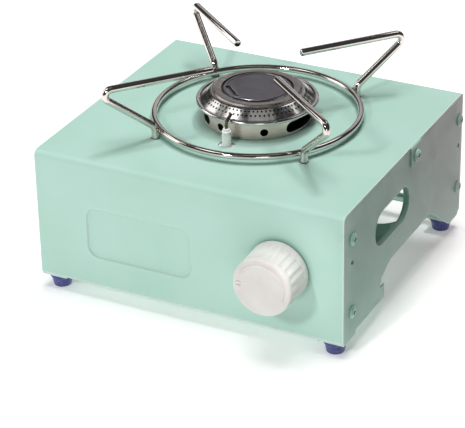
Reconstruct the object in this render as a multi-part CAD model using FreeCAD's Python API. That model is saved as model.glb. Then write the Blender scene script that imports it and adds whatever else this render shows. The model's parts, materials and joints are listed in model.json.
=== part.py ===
import FreeCAD, Part
import math
import os

# A small square camping stove for a 250 g butane cartridge that slides in from behind.
# Units are millimetres. X points right, Y points back and Z points up. The front face looks along -Y.
# The origin is on the ground, under the middle of the whole object with its knob.

V = FreeCAD.Vector
X_AXIS = V(1, 0, 0)
Y_AXIS = V(0, 1, 0)
Z_AXIS = V(0, 0, 1)
HALF_TURN = 180.0

# ---- Driving dimensions: body ----
body_width = 205.0
body_depth = 184.0
body_height = 84.0
sheet = 1.0
front_bend = 4.0
rear_bend = 2.5
flange_width = 16.0
flange_end_gap = 2.0
seam_gap = 0.4
seam_above_axis = 2.0

# ---- Driving dimensions: side panels ----
lug_drop = 2.0
lug_length = 16.5
lug_width = 16.0
skirt_rise = 5.5
skirt_length = 53.0
skirt_lead = 3.0
arch_step = 16.0
arch_rise = 22.0
arch_front = 70.0
arch_back = 134.0
heel_cut = 3.0
small_corner = 1.0
edge_round = 0.5
soft_corner = 3.0
arch_corner = 10.0
slot_length = 52.0
slot_height = 23.0
slot_from_front = 71.5
slot_up = 50.0
slot_lip = 3.0
slot_end_flat = 0.5
rivet_hole_radius = 1.5
rivet_hole_up = 49.0

# ---- Driving dimensions: tabs and screws of the shell ----
tab_width = 15.0
tab_drop = 14.0
tab_from_front = 105.0
tab_corner = 3.0
tab_bend = 1.6
side_screw_radius = 1.6
side_screw_length = 6.0
side_head_radius = 4.0
side_head_height = 1.8
front_screw_inset = 12.0
front_screw_high = 64.5
front_screw_low = 16.0
rear_screw_inset = 5.5
rear_screw_high = 67.0
rear_screw_low = 19.5
tab_screw_up = 76.0
screw_clearance = 0.15
thread_gap = 0.05
recess_width = 0.9
recess_share = 0.45
crown_share = 0.62

# ---- Driving dimensions: pressed blank panel in the front ----
press_from_left = 34.0
press_from_knob = 58.5
press_low = 18.5
press_high = 53.5
press_corner = 8.0
press_depth = 1.2

# ---- Driving dimensions: feet ----
foot_height = 9.0
foot_inset = 9.0
foot_top_radius = 7.5
foot_bottom_radius = 5.5
foot_collar = 2.5
foot_edge = 0.8
foot_recess_depth = 4.0
foot_recess_radius = 3.8
foot_screw_radius = 1.75
foot_screw_length = 11.0
foot_head_radius = 3.3
foot_head_height = 1.8

# ---- Driving dimensions: cartridge bay ----
cartridge_radius = 34.0
cartridge_side_gap = 5.5
cradle_gap = 0.6
cradle_from_front = 66.0
cradle_length = 66.0
cradle_wing_drop = 17.0
cradle_flange = 10.0
mouth_gap = 4.0
partition_gap = 2.5
partition_from_front = 44.0
partition_foot = 10.0
partition_head = 8.0
floor_flange = 8.0
rear_lip = 5.0

# ---- Driving dimensions: burner ----
burner_behind_middle = 6.0
burner_hole_radius = 22.0
stand_bottom_radius = 33.0
stand_top_radius = 34.2
stand_height = 11.8
stand_flange_radius = 24.0
burner_sheet = 0.8
window_angles = (-2.0, -155.0, 102.0)
window_spread = 62.0
window_low = 2.2
window_high = 9.4
air_hole_angles = (-57.0, -106.0, 153.0)
air_hole_radius = 2.5
air_hole_up = 5.2
bowl_flange_radius = 35.4
bowl_wall_radius = 32.0
bowl_floor_radius = 29.0
bowl_floor_up = 4.5
bowl_throat_radius = 12.0
bowl_throat_drop = 4.0
neck_drop = 18.0
rim_radius = 36.8
rim_bead = 1.3
cone_low_radius = 35.6
cone_low_up = 13.6
cone_high_radius = 28.8
cone_high_up = 19.2
crown_step = 1.2
crown_inner_radius = 22.4
disc_radius = 21.8
disc_edge = 0.7
disc_crown = 1.4
disc_slot_radius = 17.2
disc_slot_angle = -134.0
disc_slot_length = 15.0
disc_slot_width = 3.0
disc_slot_wall = 1.1
disc_slot_stand = 0.5
disc_slot_depth = 0.9
disc_slot_end_flat = 0.15
port_radius = 0.7
ports_per_row = 75
port_rows = (0.28, 0.66)

# ---- Driving dimensions: mixing tube and burner bracket ----
mixing_radius = 9.0
mixing_wall = 1.2
mixing_from_front = 26.0
mixing_above_axis = 2.0
mixing_bend = 20.0
mixing_rise_bend = 13.0
mixing_in_neck = 6.0
mixing_neck_gap = 0.1
bell_radius = 11.0
bell_length = 8.0
strap = 1.2
strap_half_width = 7.0
strap_leg_reach = 20.5
burner_screw_circle = 28.0
burner_screw_radius = 1.5
burner_screw_length = 5.0
burner_head_radius = 2.6
burner_head_height = 1.4

# ---- Driving dimensions: electrode ----
electrode_circle = 42.5
ceramic_radius = 2.9
ceramic_up = 11.0
ceramic_down = 14.0
ceramic_tip_radius = 2.2
ceramic_tip_length = 1.5
collar_radius = 5.6
collar_height = 3.0
electrode_hole_half = 5.0
electrode_hole_radius = 3.3
wire_radius = 1.0
wire_gap = 0.05
spark_rise = 4.2
spark_lean = 6.5
spark_tip_rise = 2.3
spark_bend = 2.0
terminal_length = 2.5
saddle_half_length = 10.0
saddle_half_width = 6.0
saddle_foot = 6.0
saddle_gap = 0.1

# ---- Driving dimensions: pan support ----
ring_radius = 64.0
ring_wire = 2.0
ring_up = 4.5
arm_wire = 2.35
arm_count = 4
first_arm_angle = 50.0
weld_sink = 0.2
pin_depth = 6.0
pin_rise = 7.5
pin_hole_gap = 0.6
pin_bend = 6.0
arm_corner_radius = 106.5
arm_rise = 37.7
arm_bend = 4.0
arm_tip_radius = 29.5
arm_tip_chamfer = 0.5
same_place = 0.05

# ---- Driving dimensions: knob, spindle and cam ----
knob_radius = 19.0
knob_length = 24.5
knob_gap = 1.5
knob_taper = 0.6
knob_wall = 1.8
knob_edge = 1.6
knob_rim = 3.2
knob_face_recess = 0.8
flute_count = 24
flute_radius = 2.6
flute_depth = 0.7
flute_start = 4.0
flute_length = 16.0
level_groove_radius = 14.0
level_groove_width = 1.0
level_groove_depth = 0.5
level_groove_from = -25.0
level_groove_sweep = 175.0
pointer_length = 3.4
pointer_width = 0.9
pointer_pitch = 2.4
pointer_stand = 0.6
hub_radius = 5.5
shaft_radius = 3.0
shaft_flat = 0.8
shaft_hole_gap = 1.0
shaft_in_knob = 15.0
plug_radius = 4.0
plug_length = 15.0
spindle_gap = 0.05
port_bore_radius = 1.0
seal_groove_depth = 1.5
seal_groove_width = 1.8
seal_bead = 0.7
seal_back = 3.0
cam_start = 4.5
cam_width = 6.0
cam_rest_radius = 5.5
cam_lift = 4.0
knob_travel = 120.0
cam_overrun = 8.0
cam_points = 15

# ---- Driving dimensions: piezo igniter ----
plunger_gap = 0.5
plunger_radius = 2.2
plunger_tip = 1.8
plunger_shown = 6.0
plunger_inside = 9.0
plunger_slack = 0.3
piezo_radius = 5.0
piezo_length = 26.0
piezo_flange_radius = 6.4
piezo_flange = 2.0
piezo_terminal = 3.0
ear_spacing = 14.0
ear_sheet = 1.2
ear_half_width = 6.2
lead_radius = 1.3
lead_arc_share = 0.45
clip_half = 3.0
clip_wall = 1.6
clip_beside_piezo = 9.0

# ---- Driving dimensions: regulator ----
block_from_front = 15.0
block_length = 26.5
block_half = 12.0
drum_radius = 15.0
drum_drop = 6.0
chamber_radius = 10.5
chamber_depth = 2.0
gland_radius = 7.0
gland_length = 3.0
post_circle = 13.8
post_radius = 3.4
post_lug = 5.0
valve_screw_radius = 1.5
valve_screw_length = 12.0
valve_head_radius = 2.6
valve_head_height = 1.2
outlet_radius = 6.0
outlet_length = 5.0
jet_radius = 3.6
jet_length = 4.5
jet_tip_radius = 1.8
jet_tip_length = 3.0
jet_bore_radius = 0.6
jet_to_bell = 3.0
diaphragm_thickness = 0.6
diaphragm_edge = 0.5
cover_flange = 2.0
tower_radius = 7.4
tower_bore = 6.0
tower_length = 16.0
adjuster_length = 3.2
adjuster_slot = 1.0
spring_radius = 4.6
spring_wire = 0.45
spring_turns = 5.0
cover_screw_circle = 12.8
cover_screw_radius = 1.2
cover_screw_length = 5.0
cover_head_radius = 2.1
cover_head_height = 1.2

# ---- Driving dimensions: cartridge connector ----
nose_radius = 8.0
nose_length = 3.0
inlet_radius = 1.6
inlet_depth = 6.0
socket_flange = 1.5
socket_radius = 6.0
socket_length = 6.0
socket_bore = 3.2
socket_seal = 1.5
socket_seal_bore = 1.3
socket_seal_gap = 0.05
pin_tip_radius = 0.8
pin_tip_length = 4.0
holder_radius = 24.0
holder_sheet = 1.2
holder_depth = 6.5
magnet_inner = 16.0
magnet_length = 5.0
magnet_gap = 0.3
tongue_half = 2.0
tongue_up = 14.5
tongue_length = 8.0
holder_screw_circle = 12.0
holder_screw_angle = 45.0
holder_screw_radius = 1.2
holder_screw_length = 5.0
holder_head_radius = 2.0
holder_head_height = 1.2

# ---- Levels and places that follow from them ----
half_width = body_width / 2
inner_x = half_width - sheet
flange_x = inner_x - sheet
front_y = (knob_length + knob_gap - body_depth) / 2
rear_y = front_y + body_depth
front_in = front_y + sheet
rear_in = rear_y - sheet
lug_z = foot_height
floor_z = lug_z + sheet
edge_z = lug_z + lug_drop
floor_top = floor_z + sheet
top_z = edge_z + body_height
under_z = top_z - sheet
cartridge_x = inner_x - cartridge_side_gap - cartridge_radius
cartridge_z = (floor_top + under_z) / 2
seam_z = cartridge_z + seam_above_axis
partition_x = cartridge_x - cartridge_radius - partition_gap - sheet
burner_x = min(0.0, partition_x - partition_gap - burner_hole_radius)
burner_y = front_y + body_depth / 2 + burner_behind_middle
burner = V(burner_x, burner_y, top_z)
electrode_y = burner_y - electrode_circle
pin_circle = ring_radius + ring_wire + arm_wire - weld_sink
pin_hole_radius = arm_wire + pin_hole_gap
neck_inner_radius = mixing_radius + mixing_neck_gap
neck_z = top_z - neck_drop
mixing_y = front_y + mixing_from_front
mixing_z = cartridge_z + mixing_above_axis
outlet_x = cartridge_x - block_half - outlet_length
jet_x = outlet_x - jet_length - jet_tip_length
bell_x = jet_x - jet_to_bell
block_front = front_y + block_from_front
block_back = block_front + block_length
drum_y = front_y + mixing_from_front
drum_low = cartridge_z - block_half - drum_drop
cover_top = drum_low - diaphragm_thickness
tower_low = cover_top - tower_length
cam_y = front_y + cam_start
piezo_y = cam_y + cam_width / 2
plunger_x = cartridge_x - cam_rest_radius - plunger_gap
piezo_face = plunger_x - plunger_shown
piezo_end = piezo_face - piezo_length
nose_y = block_back + nose_length


# ---- Helpers ----
def block(x_span, y_span, z_span):
    """A box between two values along each axis."""
    low = V(x_span[0], y_span[0], z_span[0])
    high = V(x_span[1], y_span[1], z_span[1])
    size = high - low
    return Part.makeBox(size.x, size.y, size.z, low)


def rod(start, axis, radius, length):
    """A round bar from a point along an axis."""
    return Part.makeCylinder(radius, length, start, axis)


def sleeve(start, axis, outer, inner, length):
    """A round tube from a point along an axis."""
    return rod(start, axis, outer, length).cut(rod(start, axis, inner, length))


def fused(shapes):
    """One clean solid from several that meet."""
    return shapes[0].multiFuse(shapes[1:]).removeSplitter()


def without(shape, tools):
    """A shape with every tool cut away."""
    return shape.cut(tools)


def on_circle(centre, radius, angle, up=0.0):
    """A point on a level circle round a centre."""
    turn = math.radians(angle)
    return centre + V(radius * math.cos(turn), radius * math.sin(turn), up)


def bent_wire(corners, closed):
    """A wire through corners, each a point and a bend radius, of straight runs and tangent arcs."""
    last = len(corners) - 1
    stops = []
    for index, (point, radius) in enumerate(corners):
        if radius == 0 or (not closed and index in (0, last)):
            stops.append((point, None, point))
            continue
        arrive = (point - corners[index - 1][0]).normalize()
        leave = (corners[(index + 1) % len(corners)][0] - point).normalize()
        half = arrive.getAngle(leave) / 2
        reach = radius * math.tan(half)
        inward = (leave - arrive).normalize()
        middle = point + inward * (radius / math.cos(half) - radius)
        stops.append((point - arrive * reach, middle, point + leave * reach))
    edges = []
    for index, (begin, middle, end) in enumerate(stops):
        if middle is not None:
            edges.append(Part.Arc(begin, middle, end).toShape())
        if closed or index < last:
            following = stops[(index + 1) % len(stops)][0]
            edges.append(Part.LineSegment(end, following).toShape())
    return Part.Wire(edges)


def plate(corners, thickness):
    """A flat piece with rounded corners, thickened along a vector."""
    return Part.Face(bent_wire(corners, True)).extrude(thickness)


def turned(profile, base, axis):
    """A solid of revolution from (radius, height, corner radius), set on a base along an axis."""
    corners = [(V(radius, 0, height), corner) for radius, height, corner in profile]
    face = Part.Face(bent_wire(corners, True))
    solid = face.revolve(V(0, 0, 0), Z_AXIS, 2 * HALF_TURN)
    solid.Placement = FreeCAD.Placement(base, FreeCAD.Rotation(Z_AXIS, axis))
    return solid


def bent_rod(corners, radius):
    """A round wire bent through corners."""
    first = corners[0][0]
    direction = corners[1][0] - first
    section = Part.Wire(Part.makeCircle(radius, first, direction))
    return bent_wire(corners, False).makePipeShell([section], True, True)


def rectangle(centre, across, up, half_across, half_up, corner):
    """Rounded rectangle corners about a centre, in the plane of two unit vectors."""
    signs = ((-1, -1), (1, -1), (1, 1), (-1, 1))
    return [(centre + across * (a * half_across) + up * (b * half_up), corner) for a, b in signs]


def screw(seat, axis, radius, length, head_radius, head_height):
    """A domed cross-recessed screw with the underside of its head on a seat, pointing along an axis."""
    crown = head_radius * crown_share
    profile = [
        (0, -head_height, 0),
        (crown, -head_height, head_height / 2),
        (head_radius, -head_height / 2, head_height / 4),
        (head_radius, 0, 0),
        (radius, 0, 0),
        (radius, length, 0),
        (0, length, 0),
    ]
    solid = turned(profile, V(0, 0, 0), Z_AXIS)
    arm = head_radius * recess_share
    depth = (-head_height, -head_height / 2)
    bar = (-recess_width / 2, recess_width / 2)
    cross = [block((-arm, arm), bar, depth), block(bar, (-arm, arm), depth)]
    solid = without(solid, cross)
    solid.Placement = FreeCAD.Placement(seat, FreeCAD.Rotation(Z_AXIS, axis))
    return solid


def mirrored(shape):
    """The same piece on the left side."""
    return shape.mirror(V(0, 0, 0), X_AXIS)


def save(name, shape):
    """Writes one piece, which has to be sound, to its own file."""
    if not shape.isValid():
        raise ValueError(name + " is not a sound solid")
    shape.exportStep("parts/" + name + ".step")
    print(name, len(shape.Solids), "solid", round(shape.Volume), "mm3")


# ---- Body ----
def side_screw_points():
    """Seats of the right side's screws on the side panel, and that of the tab's screw."""
    front = front_y + front_screw_inset
    rear = rear_y - rear_screw_inset
    places = [
        (front, edge_z + front_screw_high),
        (front, edge_z + front_screw_low),
        (rear, edge_z + rear_screw_high),
        (rear, edge_z + rear_screw_low),
    ]
    seats = [V(half_width, y, z) for y, z in places]
    tab_seat = V(half_width + sheet, front_y + tab_from_front, edge_z + tab_screw_up)
    return seats, tab_seat


def side_screw_holes(radius):
    """Cutters along X for every side screw, through both sides of the body."""
    seats, tab_seat = side_screw_points()
    reach = 2 * (half_width + 2 * sheet)
    start = half_width + 2 * sheet
    return [rod(V(start, seat.y, seat.z), -X_AXIS, radius, reach) for seat in seats + [tab_seat]]


def return_flange(y_span, z_span):
    """A flange folded back inside the right side panel."""
    corners = [
        (V(flange_x, y_span[0], z_span[0]), small_corner),
        (V(flange_x, y_span[1], z_span[0]), small_corner),
        (V(flange_x, y_span[1], z_span[1]), small_corner),
        (V(flange_x, y_span[0], z_span[1]), small_corner),
    ]
    return plate(corners, X_AXIS * sheet)


def tab():
    """A tab of the top that folds down over the outside of the right side panel."""
    middle = front_y + tab_from_front
    span = (middle - tab_width / 2, middle + tab_width / 2)
    profile = [
        (V(half_width - 2 * sheet, span[0], under_z), 0),
        (V(half_width, span[0], under_z), 0),
        (V(half_width, span[0], top_z - tab_drop), 0),
        (V(half_width + sheet, span[0], top_z - tab_drop), 0),
        (V(half_width + sheet, span[0], top_z), tab_bend),
        (V(half_width - 2 * sheet, span[0], top_z), 0),
    ]
    folded = plate(profile, Y_AXIS * tab_width)
    low = [
        (V(half_width - 2 * sheet, span[0], top_z - tab_drop), tab_corner),
        (V(half_width - 2 * sheet, span[1], top_z - tab_drop), tab_corner),
        (V(half_width - 2 * sheet, span[1], top_z), 0),
        (V(half_width - 2 * sheet, span[0], top_z), 0),
    ]
    return folded.common(plate(low, X_AXIS * (3 * sheet)))


def pressed(depth_start, grow):
    """A shallow frustum in the front panel, from a plane at a depth and grown by a margin."""
    left = -half_width + press_from_left
    right = cartridge_x - press_from_knob
    half_across = (right - left) / 2
    half_up = (press_high - press_low) / 2
    centre = V((left + right) / 2, front_y + depth_start, edge_z + (press_low + press_high) / 2)
    wires = []
    for depth in (0.0, press_depth):
        size = grow - depth
        corners = rectangle(
            centre + Y_AXIS * depth, X_AXIS, Z_AXIS, half_across + size, half_up + size, press_corner + size
        )
        wires.append(bent_wire(corners, True))
    return Part.makeLoft(wires, True, True)


def mouth():
    """The round opening in the rear that the cartridge goes through."""
    start = V(cartridge_x, rear_y - 2 * sheet, cartridge_z)
    return rod(start, Y_AXIS, cartridge_radius + mouth_gap, 3 * sheet)


def valve_screw_points():
    """Seats of the two screws behind the knob, on the front panel."""
    return [V(cartridge_x, front_y, cartridge_z + side * post_circle) for side in (-1, 1)]


def burner_screw_points():
    """Seats of the burner's two screws, on the flange of its stand."""
    up = burner_sheet
    return [on_circle(burner, burner_screw_circle, angle, up) for angle in (-HALF_TURN / 2, HALF_TURN / 2)]


def arm_angles():
    """Direction of each arm of the pan support."""
    return [first_arm_angle + index * 2 * HALF_TURN / arm_count for index in range(arm_count)]


def top_shell():
    profile = [
        (V(-half_width, front_y, edge_z), 0),
        (V(-half_width, front_y, top_z), front_bend),
        (V(-half_width, rear_y, top_z), rear_bend),
        (V(-half_width, rear_y, seam_z), 0),
        (V(-half_width, rear_in, seam_z), 0),
        (V(-half_width, rear_in, under_z), rear_bend - sheet),
        (V(-half_width, front_in, under_z), front_bend - sheet),
        (V(-half_width, front_in, edge_z), 0),
    ]
    folded = plate(profile, X_AXIS * body_width)
    flange_top = under_z - front_bend
    front_flange = return_flange((front_y, front_in + flange_width), (edge_z + flange_end_gap, flange_top))
    rear_flange = return_flange((rear_in - flange_width, rear_y), (seam_z + flange_end_gap, flange_top))
    right = [front_flange, rear_flange, tab()]
    left = [mirrored(piece) for piece in right]
    shell = fused([folded, pressed(sheet, sheet)] + right + left)
    through = top_z - 2 * sheet
    holes = [pressed(0.0, 0.0), mouth()]
    holes.append(rod(V(burner_x, burner_y, through), Z_AXIS, burner_hole_radius, 3 * sheet))
    for angle in arm_angles():
        pin_start = on_circle(burner, pin_circle, angle, -2 * sheet)
        holes.append(rod(pin_start, Z_AXIS, pin_hole_radius, 3 * sheet))
    for seat in burner_screw_points():
        radius = burner_screw_radius + screw_clearance
        holes.append(rod(V(seat.x, seat.y, through), Z_AXIS, radius, 3 * sheet))
    slot_centre = V(burner_x, electrode_y, through)
    slot = rectangle(
        slot_centre, X_AXIS, Y_AXIS, electrode_hole_half, electrode_hole_radius, small_corner
    )
    holes.append(plate(slot, Z_AXIS * (3 * sheet)))
    for seat in valve_screw_points():
        holes.append(rod(seat - Y_AXIS * sheet, Y_AXIS, valve_screw_radius + screw_clearance, 3 * sheet))
    spindle_start = V(cartridge_x, front_y - sheet, cartridge_z)
    holes.append(rod(spindle_start, Y_AXIS, shaft_radius + shaft_hole_gap, 3 * sheet))
    return without(shell, holes + side_screw_holes(side_screw_radius + screw_clearance))


def side_outline():
    """Outline of the right side panel on its inner face."""
    lug_front = front_in + lug_length
    lug_rear = rear_in - lug_length
    skirt_end = front_y + skirt_length
    skirt_z = edge_z + skirt_rise
    places = [
        (front_in, under_z, front_bend - sheet),
        (front_in, lug_z, small_corner),
        (lug_front, lug_z, small_corner),
        (lug_front + skirt_lead, skirt_z, small_corner),
        (skirt_end, skirt_z, small_corner),
        (skirt_end + skirt_lead, edge_z + arch_step, soft_corner),
        (front_y + arch_front, edge_z + arch_rise, arch_corner),
        (front_y + arch_back, edge_z + arch_rise, arch_corner),
        (lug_rear - skirt_lead, edge_z, soft_corner),
        (lug_rear, lug_z, small_corner),
        (rear_in - heel_cut, lug_z, small_corner),
        (rear_in, lug_z + heel_cut, small_corner),
        (rear_in, under_z, rear_bend - sheet),
    ]
    return [(V(inner_x, y, z), corner) for y, z, corner in places]


def hand_slot(x, grow, length):
    """The rounded slot of the side panel as a solid, from a plane inwards."""
    centre = V(x, front_y + slot_from_front, edge_z + slot_up)
    half_up = slot_height / 2 + grow
    corner = half_up - slot_end_flat
    corners = rectangle(centre, Y_AXIS, Z_AXIS, slot_length / 2 + grow, half_up, corner)
    return plate(corners, -X_AXIS * length)


def foot_lug(y_span):
    """A flange at a lower corner of the right side panel that a foot is screwed to."""
    return block((inner_x - lug_width, half_width), y_span, (lug_z, floor_z))


def foot_points():
    """Middle of each foot's underside, by name."""
    x = half_width - foot_inset
    front = front_y + foot_inset
    rear = rear_y - foot_inset
    return {
        "foot_front_left": V(-x, front, 0),
        "foot_front_right": V(x, front, 0),
        "foot_rear_left": V(-x, rear, 0),
        "foot_rear_right": V(x, rear, 0),
    }


def side_panel():
    flat = plate(side_outline(), X_AXIS * sheet)
    front_lug = foot_lug((front_in, front_in + lug_length - small_corner))
    rear_lug = foot_lug((rear_in - lug_length + small_corner, rear_in - heel_cut))
    lip = hand_slot(half_width, sheet, sheet + slot_lip)
    panel = fused([flat, front_lug, rear_lug, lip])
    cuts = [hand_slot(half_width + sheet, 0.0, 3 * sheet + slot_lip)]
    for y in (front_y + front_screw_inset, rear_y - rear_screw_inset):
        outside = V(half_width + sheet, y, edge_z + rivet_hole_up)
        cuts.append(rod(outside, -X_AXIS, rivet_hole_radius, 3 * sheet))
    for name in ("foot_front_right", "foot_rear_right"):
        point = foot_points()[name]
        cuts.append(rod(V(point.x, point.y, 0), Z_AXIS, foot_screw_radius + screw_clearance, edge_z))
    return without(panel, cuts + side_screw_holes(side_screw_radius + screw_clearance))


def rear_panel():
    top = seam_z - seam_gap
    corners = [
        (V(-half_width, rear_in, edge_z), small_corner),
        (V(half_width, rear_in, edge_z), small_corner),
        (V(half_width, rear_in, top), 0),
        (V(-half_width, rear_in, top), 0),
    ]
    flat = plate(corners, Y_AXIS * sheet)
    flange = return_flange((rear_in - flange_width, rear_y), (edge_z + flange_end_gap, top - flange_end_gap))
    lip_x = flange_x - flange_end_gap
    lip = block((-lip_x, lip_x), (rear_in - rear_lip, rear_y), (edge_z, edge_z + sheet))
    panel = fused([flat, flange, mirrored(flange), lip])
    return without(panel, [mouth()] + side_screw_holes(side_screw_radius + screw_clearance))


def base_plate():
    right = partition_x + sheet
    step = front_y + cradle_from_front - flange_end_gap
    corners = [
        (V(-inner_x, front_in, floor_z), small_corner),
        (V(inner_x, front_in, floor_z), small_corner),
        (V(inner_x, step, floor_z), small_corner),
        (V(right, step, floor_z), soft_corner),
        (V(right, rear_in, floor_z), small_corner),
        (V(-inner_x, rear_in, floor_z), small_corner),
    ]
    floor = plate(corners, Z_AXIS * sheet)
    height = (floor_z, floor_top + floor_flange)
    side_front = front_in + flange_width + flange_end_gap
    side_rear = rear_in - flange_width - flange_end_gap
    front_x = flange_x - flange_end_gap
    front = block((-front_x, front_x), (front_in, front_in + sheet), height)
    left = block((-inner_x, -flange_x), (side_front, side_rear), height)
    right_flange = block((flange_x, inner_x), (side_front, step - small_corner), height)
    base = fused([floor, front, left, right_flange])
    holes = []
    for name in ("foot_front_left", "foot_front_right", "foot_rear_left"):
        holes.append(rod(foot_points()[name], Z_AXIS, foot_screw_radius + screw_clearance, floor_top + sheet))
    return without(base, holes)


def partition():
    span = (front_y + partition_from_front, rear_in - rear_lip - flange_end_gap)
    wall = block((partition_x, partition_x + sheet), span, (floor_top, under_z))
    foot_x = (partition_x - partition_foot, partition_x + sheet)
    foot = block(foot_x, span, (floor_top, floor_top + sheet))
    head_x = (partition_x, partition_x + sheet + partition_head)
    head = block(head_x, span, (under_z - sheet, under_z))
    folded = fused([wall, foot, head])
    holes = []
    for angle in arm_angles():
        point = on_circle(burner, pin_circle, angle, -pin_depth)
        holes.append(rod(point, Z_AXIS, pin_hole_radius + pin_hole_gap, pin_depth))
    return without(folded, holes)


def cartridge_cradle():
    length = cradle_length
    start = V(cartridge_x, front_y + cradle_from_front, cartridge_z)
    inner = cartridge_radius + cradle_gap
    wing_z = cartridge_z - cradle_wing_drop
    span = (start.y, start.y + length)
    round_wall = rod(start, Y_AXIS, inner + sheet, length)
    below = block((cartridge_x - 2 * inner, cartridge_x + 2 * inner), span, (0, wing_z))
    trough = round_wall.common(below)
    left = partition_x + sheet
    wings = block((left, inner_x), span, (wing_z - sheet, wing_z))
    flange = (wing_z - sheet, wing_z + cradle_flange)
    left_flange = block((left, left + sheet), span, flange)
    right_flange = block((flange_x, inner_x), span, flange)
    cradle = fused([trough, wings, left_flange, right_flange])
    return cradle.cut(rod(start, Y_AXIS, inner, length))


def foot(point):
    shoulder = foot_height - foot_collar
    profile = [
        (foot_recess_radius, 0, 0),
        (foot_bottom_radius, 0, foot_edge),
        (foot_top_radius - foot_edge, shoulder, 0),
        (foot_top_radius, shoulder, foot_edge / 2),
        (foot_top_radius, foot_height, 0),
        (foot_screw_radius + screw_clearance, foot_height, 0),
        (foot_screw_radius + screw_clearance, foot_recess_depth, 0),
        (foot_recess_radius, foot_recess_depth, 0),
    ]
    return turned(profile, point, Z_AXIS)


def foot_screws():
    screws = []
    for point in foot_points().values():
        seat = point + Z_AXIS * foot_recess_depth
        screws.append(
            screw(seat, Z_AXIS, foot_screw_radius, foot_screw_length, foot_head_radius, foot_head_height)
        )
    return Part.makeCompound(screws)


def side_screws():
    seats, tab_seat = side_screw_points()
    right = []
    for seat in seats + [tab_seat]:
        right.append(
            screw(seat, -X_AXIS, side_screw_radius, side_screw_length, side_head_radius, side_head_height)
        )
    return Part.makeCompound(right + [mirrored(piece) for piece in right])


# ---- Pan support ----
def support_ring():
    return Part.makeTorus(ring_radius, ring_wire, burner + Z_AXIS * ring_up, Z_AXIS)


def support_arm(angle):
    places = [
        (pin_circle, -pin_depth, 0),
        (pin_circle, pin_rise, pin_bend),
        (arm_corner_radius, arm_rise, arm_bend),
        (arm_tip_radius, arm_rise, 0),
    ]
    corners = [(on_circle(burner, radius, angle, up), bend) for radius, up, bend in places]
    bar = bent_rod(corners, arm_wire)
    ends = (corners[0][0], corners[-1][0])
    rims = [edge for edge in bar.Edges if min((edge.CenterOfMass - end).Length for end in ends) < same_place]
    return bar.makeChamfer(arm_tip_chamfer, rims)


# ---- Burner ----
def burner_stand():
    slope_inner = stand_top_radius - burner_sheet
    profile = [
        (stand_flange_radius, 0, 0),
        (stand_bottom_radius, 0, small_corner),
        (stand_top_radius, stand_height, 0),
        (slope_inner, stand_height, 0),
        (stand_bottom_radius - burner_sheet, burner_sheet, 0),
        (stand_flange_radius, burner_sheet, 0),
    ]
    wall = turned(profile, burner, Z_AXIS)
    cuts = []
    for angle in window_angles:
        sector = Part.makeCylinder(
            2 * stand_top_radius, window_high - window_low, V(0, 0, 0), Z_AXIS, window_spread
        )
        turn = FreeCAD.Rotation(Z_AXIS, angle - window_spread / 2)
        sector.Placement = FreeCAD.Placement(burner + Z_AXIS * window_low, turn)
        cuts.append(sector)
    for angle in air_hole_angles:
        centre = burner + Z_AXIS * air_hole_up
        outward = (on_circle(centre, 1.0, angle) - centre).normalize()
        cuts.append(rod(centre, outward, air_hole_radius, 2 * stand_top_radius))
    for seat in burner_screw_points():
        radius = burner_screw_radius + screw_clearance
        cuts.append(rod(seat - Z_AXIS * (2 * burner_sheet), Z_AXIS, radius, 3 * burner_sheet))
    return without(wall, cuts)


def burner_bowl():
    wall = burner_sheet
    throat = -bowl_throat_drop
    flange = stand_height
    profile = [
        (bowl_flange_radius, flange, 0),
        (bowl_wall_radius, flange, small_corner),
        (bowl_floor_radius, bowl_floor_up, small_corner),
        (bowl_throat_radius, throat, small_corner),
        (neck_inner_radius + wall, throat, 0),
        (neck_inner_radius + wall, -neck_drop, 0),
        (neck_inner_radius, -neck_drop, 0),
        (neck_inner_radius, throat + wall, 0),
        (bowl_throat_radius, throat + wall, small_corner),
        (bowl_floor_radius - wall, bowl_floor_up + wall / 2, small_corner),
        (bowl_wall_radius - wall, flange + wall, small_corner),
        (bowl_flange_radius, flange + wall, 0),
    ]
    return turned(profile, burner, Z_AXIS)


def burner_cap():
    wall = burner_sheet
    seat = stand_height + wall
    slope = V(cone_high_radius - cone_low_radius, 0, cone_high_up - cone_low_up)
    normal = V(slope.z, 0, -slope.x).normalize()
    crown = cone_high_up + crown_step
    profile = [
        (cone_low_radius - normal.x * wall, seat, 0),
        (cone_low_radius + rim_bead / 2, seat, 0),
        (cone_low_radius + rim_bead / 2, cone_low_up, 0),
        (cone_low_radius, cone_low_up, 0),
        (cone_high_radius, cone_high_up, small_corner),
        (cone_high_radius - crown_step, cone_high_up, crown_step / 4),
        (cone_high_radius - 2 * crown_step, crown, crown_step / 4),
        (crown_inner_radius, crown, 0),
        (crown_inner_radius, cone_high_up, 0),
        (0, cone_high_up, 0),
        (0, cone_high_up - wall, 0),
        (cone_high_radius - wall, cone_high_up - wall, 0),
        (cone_low_radius - normal.x * wall, cone_low_up - normal.z * wall, 0),
    ]
    dome = turned(profile, burner, Z_AXIS)
    bead = Part.makeTorus(rim_radius, rim_bead, burner + Z_AXIS * (stand_height + rim_bead), Z_AXIS)
    dome = fused([dome, bead])
    ports = []
    for row, share in enumerate(port_rows):
        middle = V(cone_low_radius, 0, cone_low_up) + slope * share - normal * (wall / 2)
        port = rod(middle - normal * (2 * wall), normal, port_radius, 4 * wall)
        pitch = 2 * HALF_TURN / ports_per_row
        for index in range(ports_per_row):
            copy = port.copy()
            turn = FreeCAD.Rotation(Z_AXIS, (index + row / 2) * pitch)
            copy.Placement = FreeCAD.Placement(burner, turn)
            ports.append(copy)
    return without(dome, ports)


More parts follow.
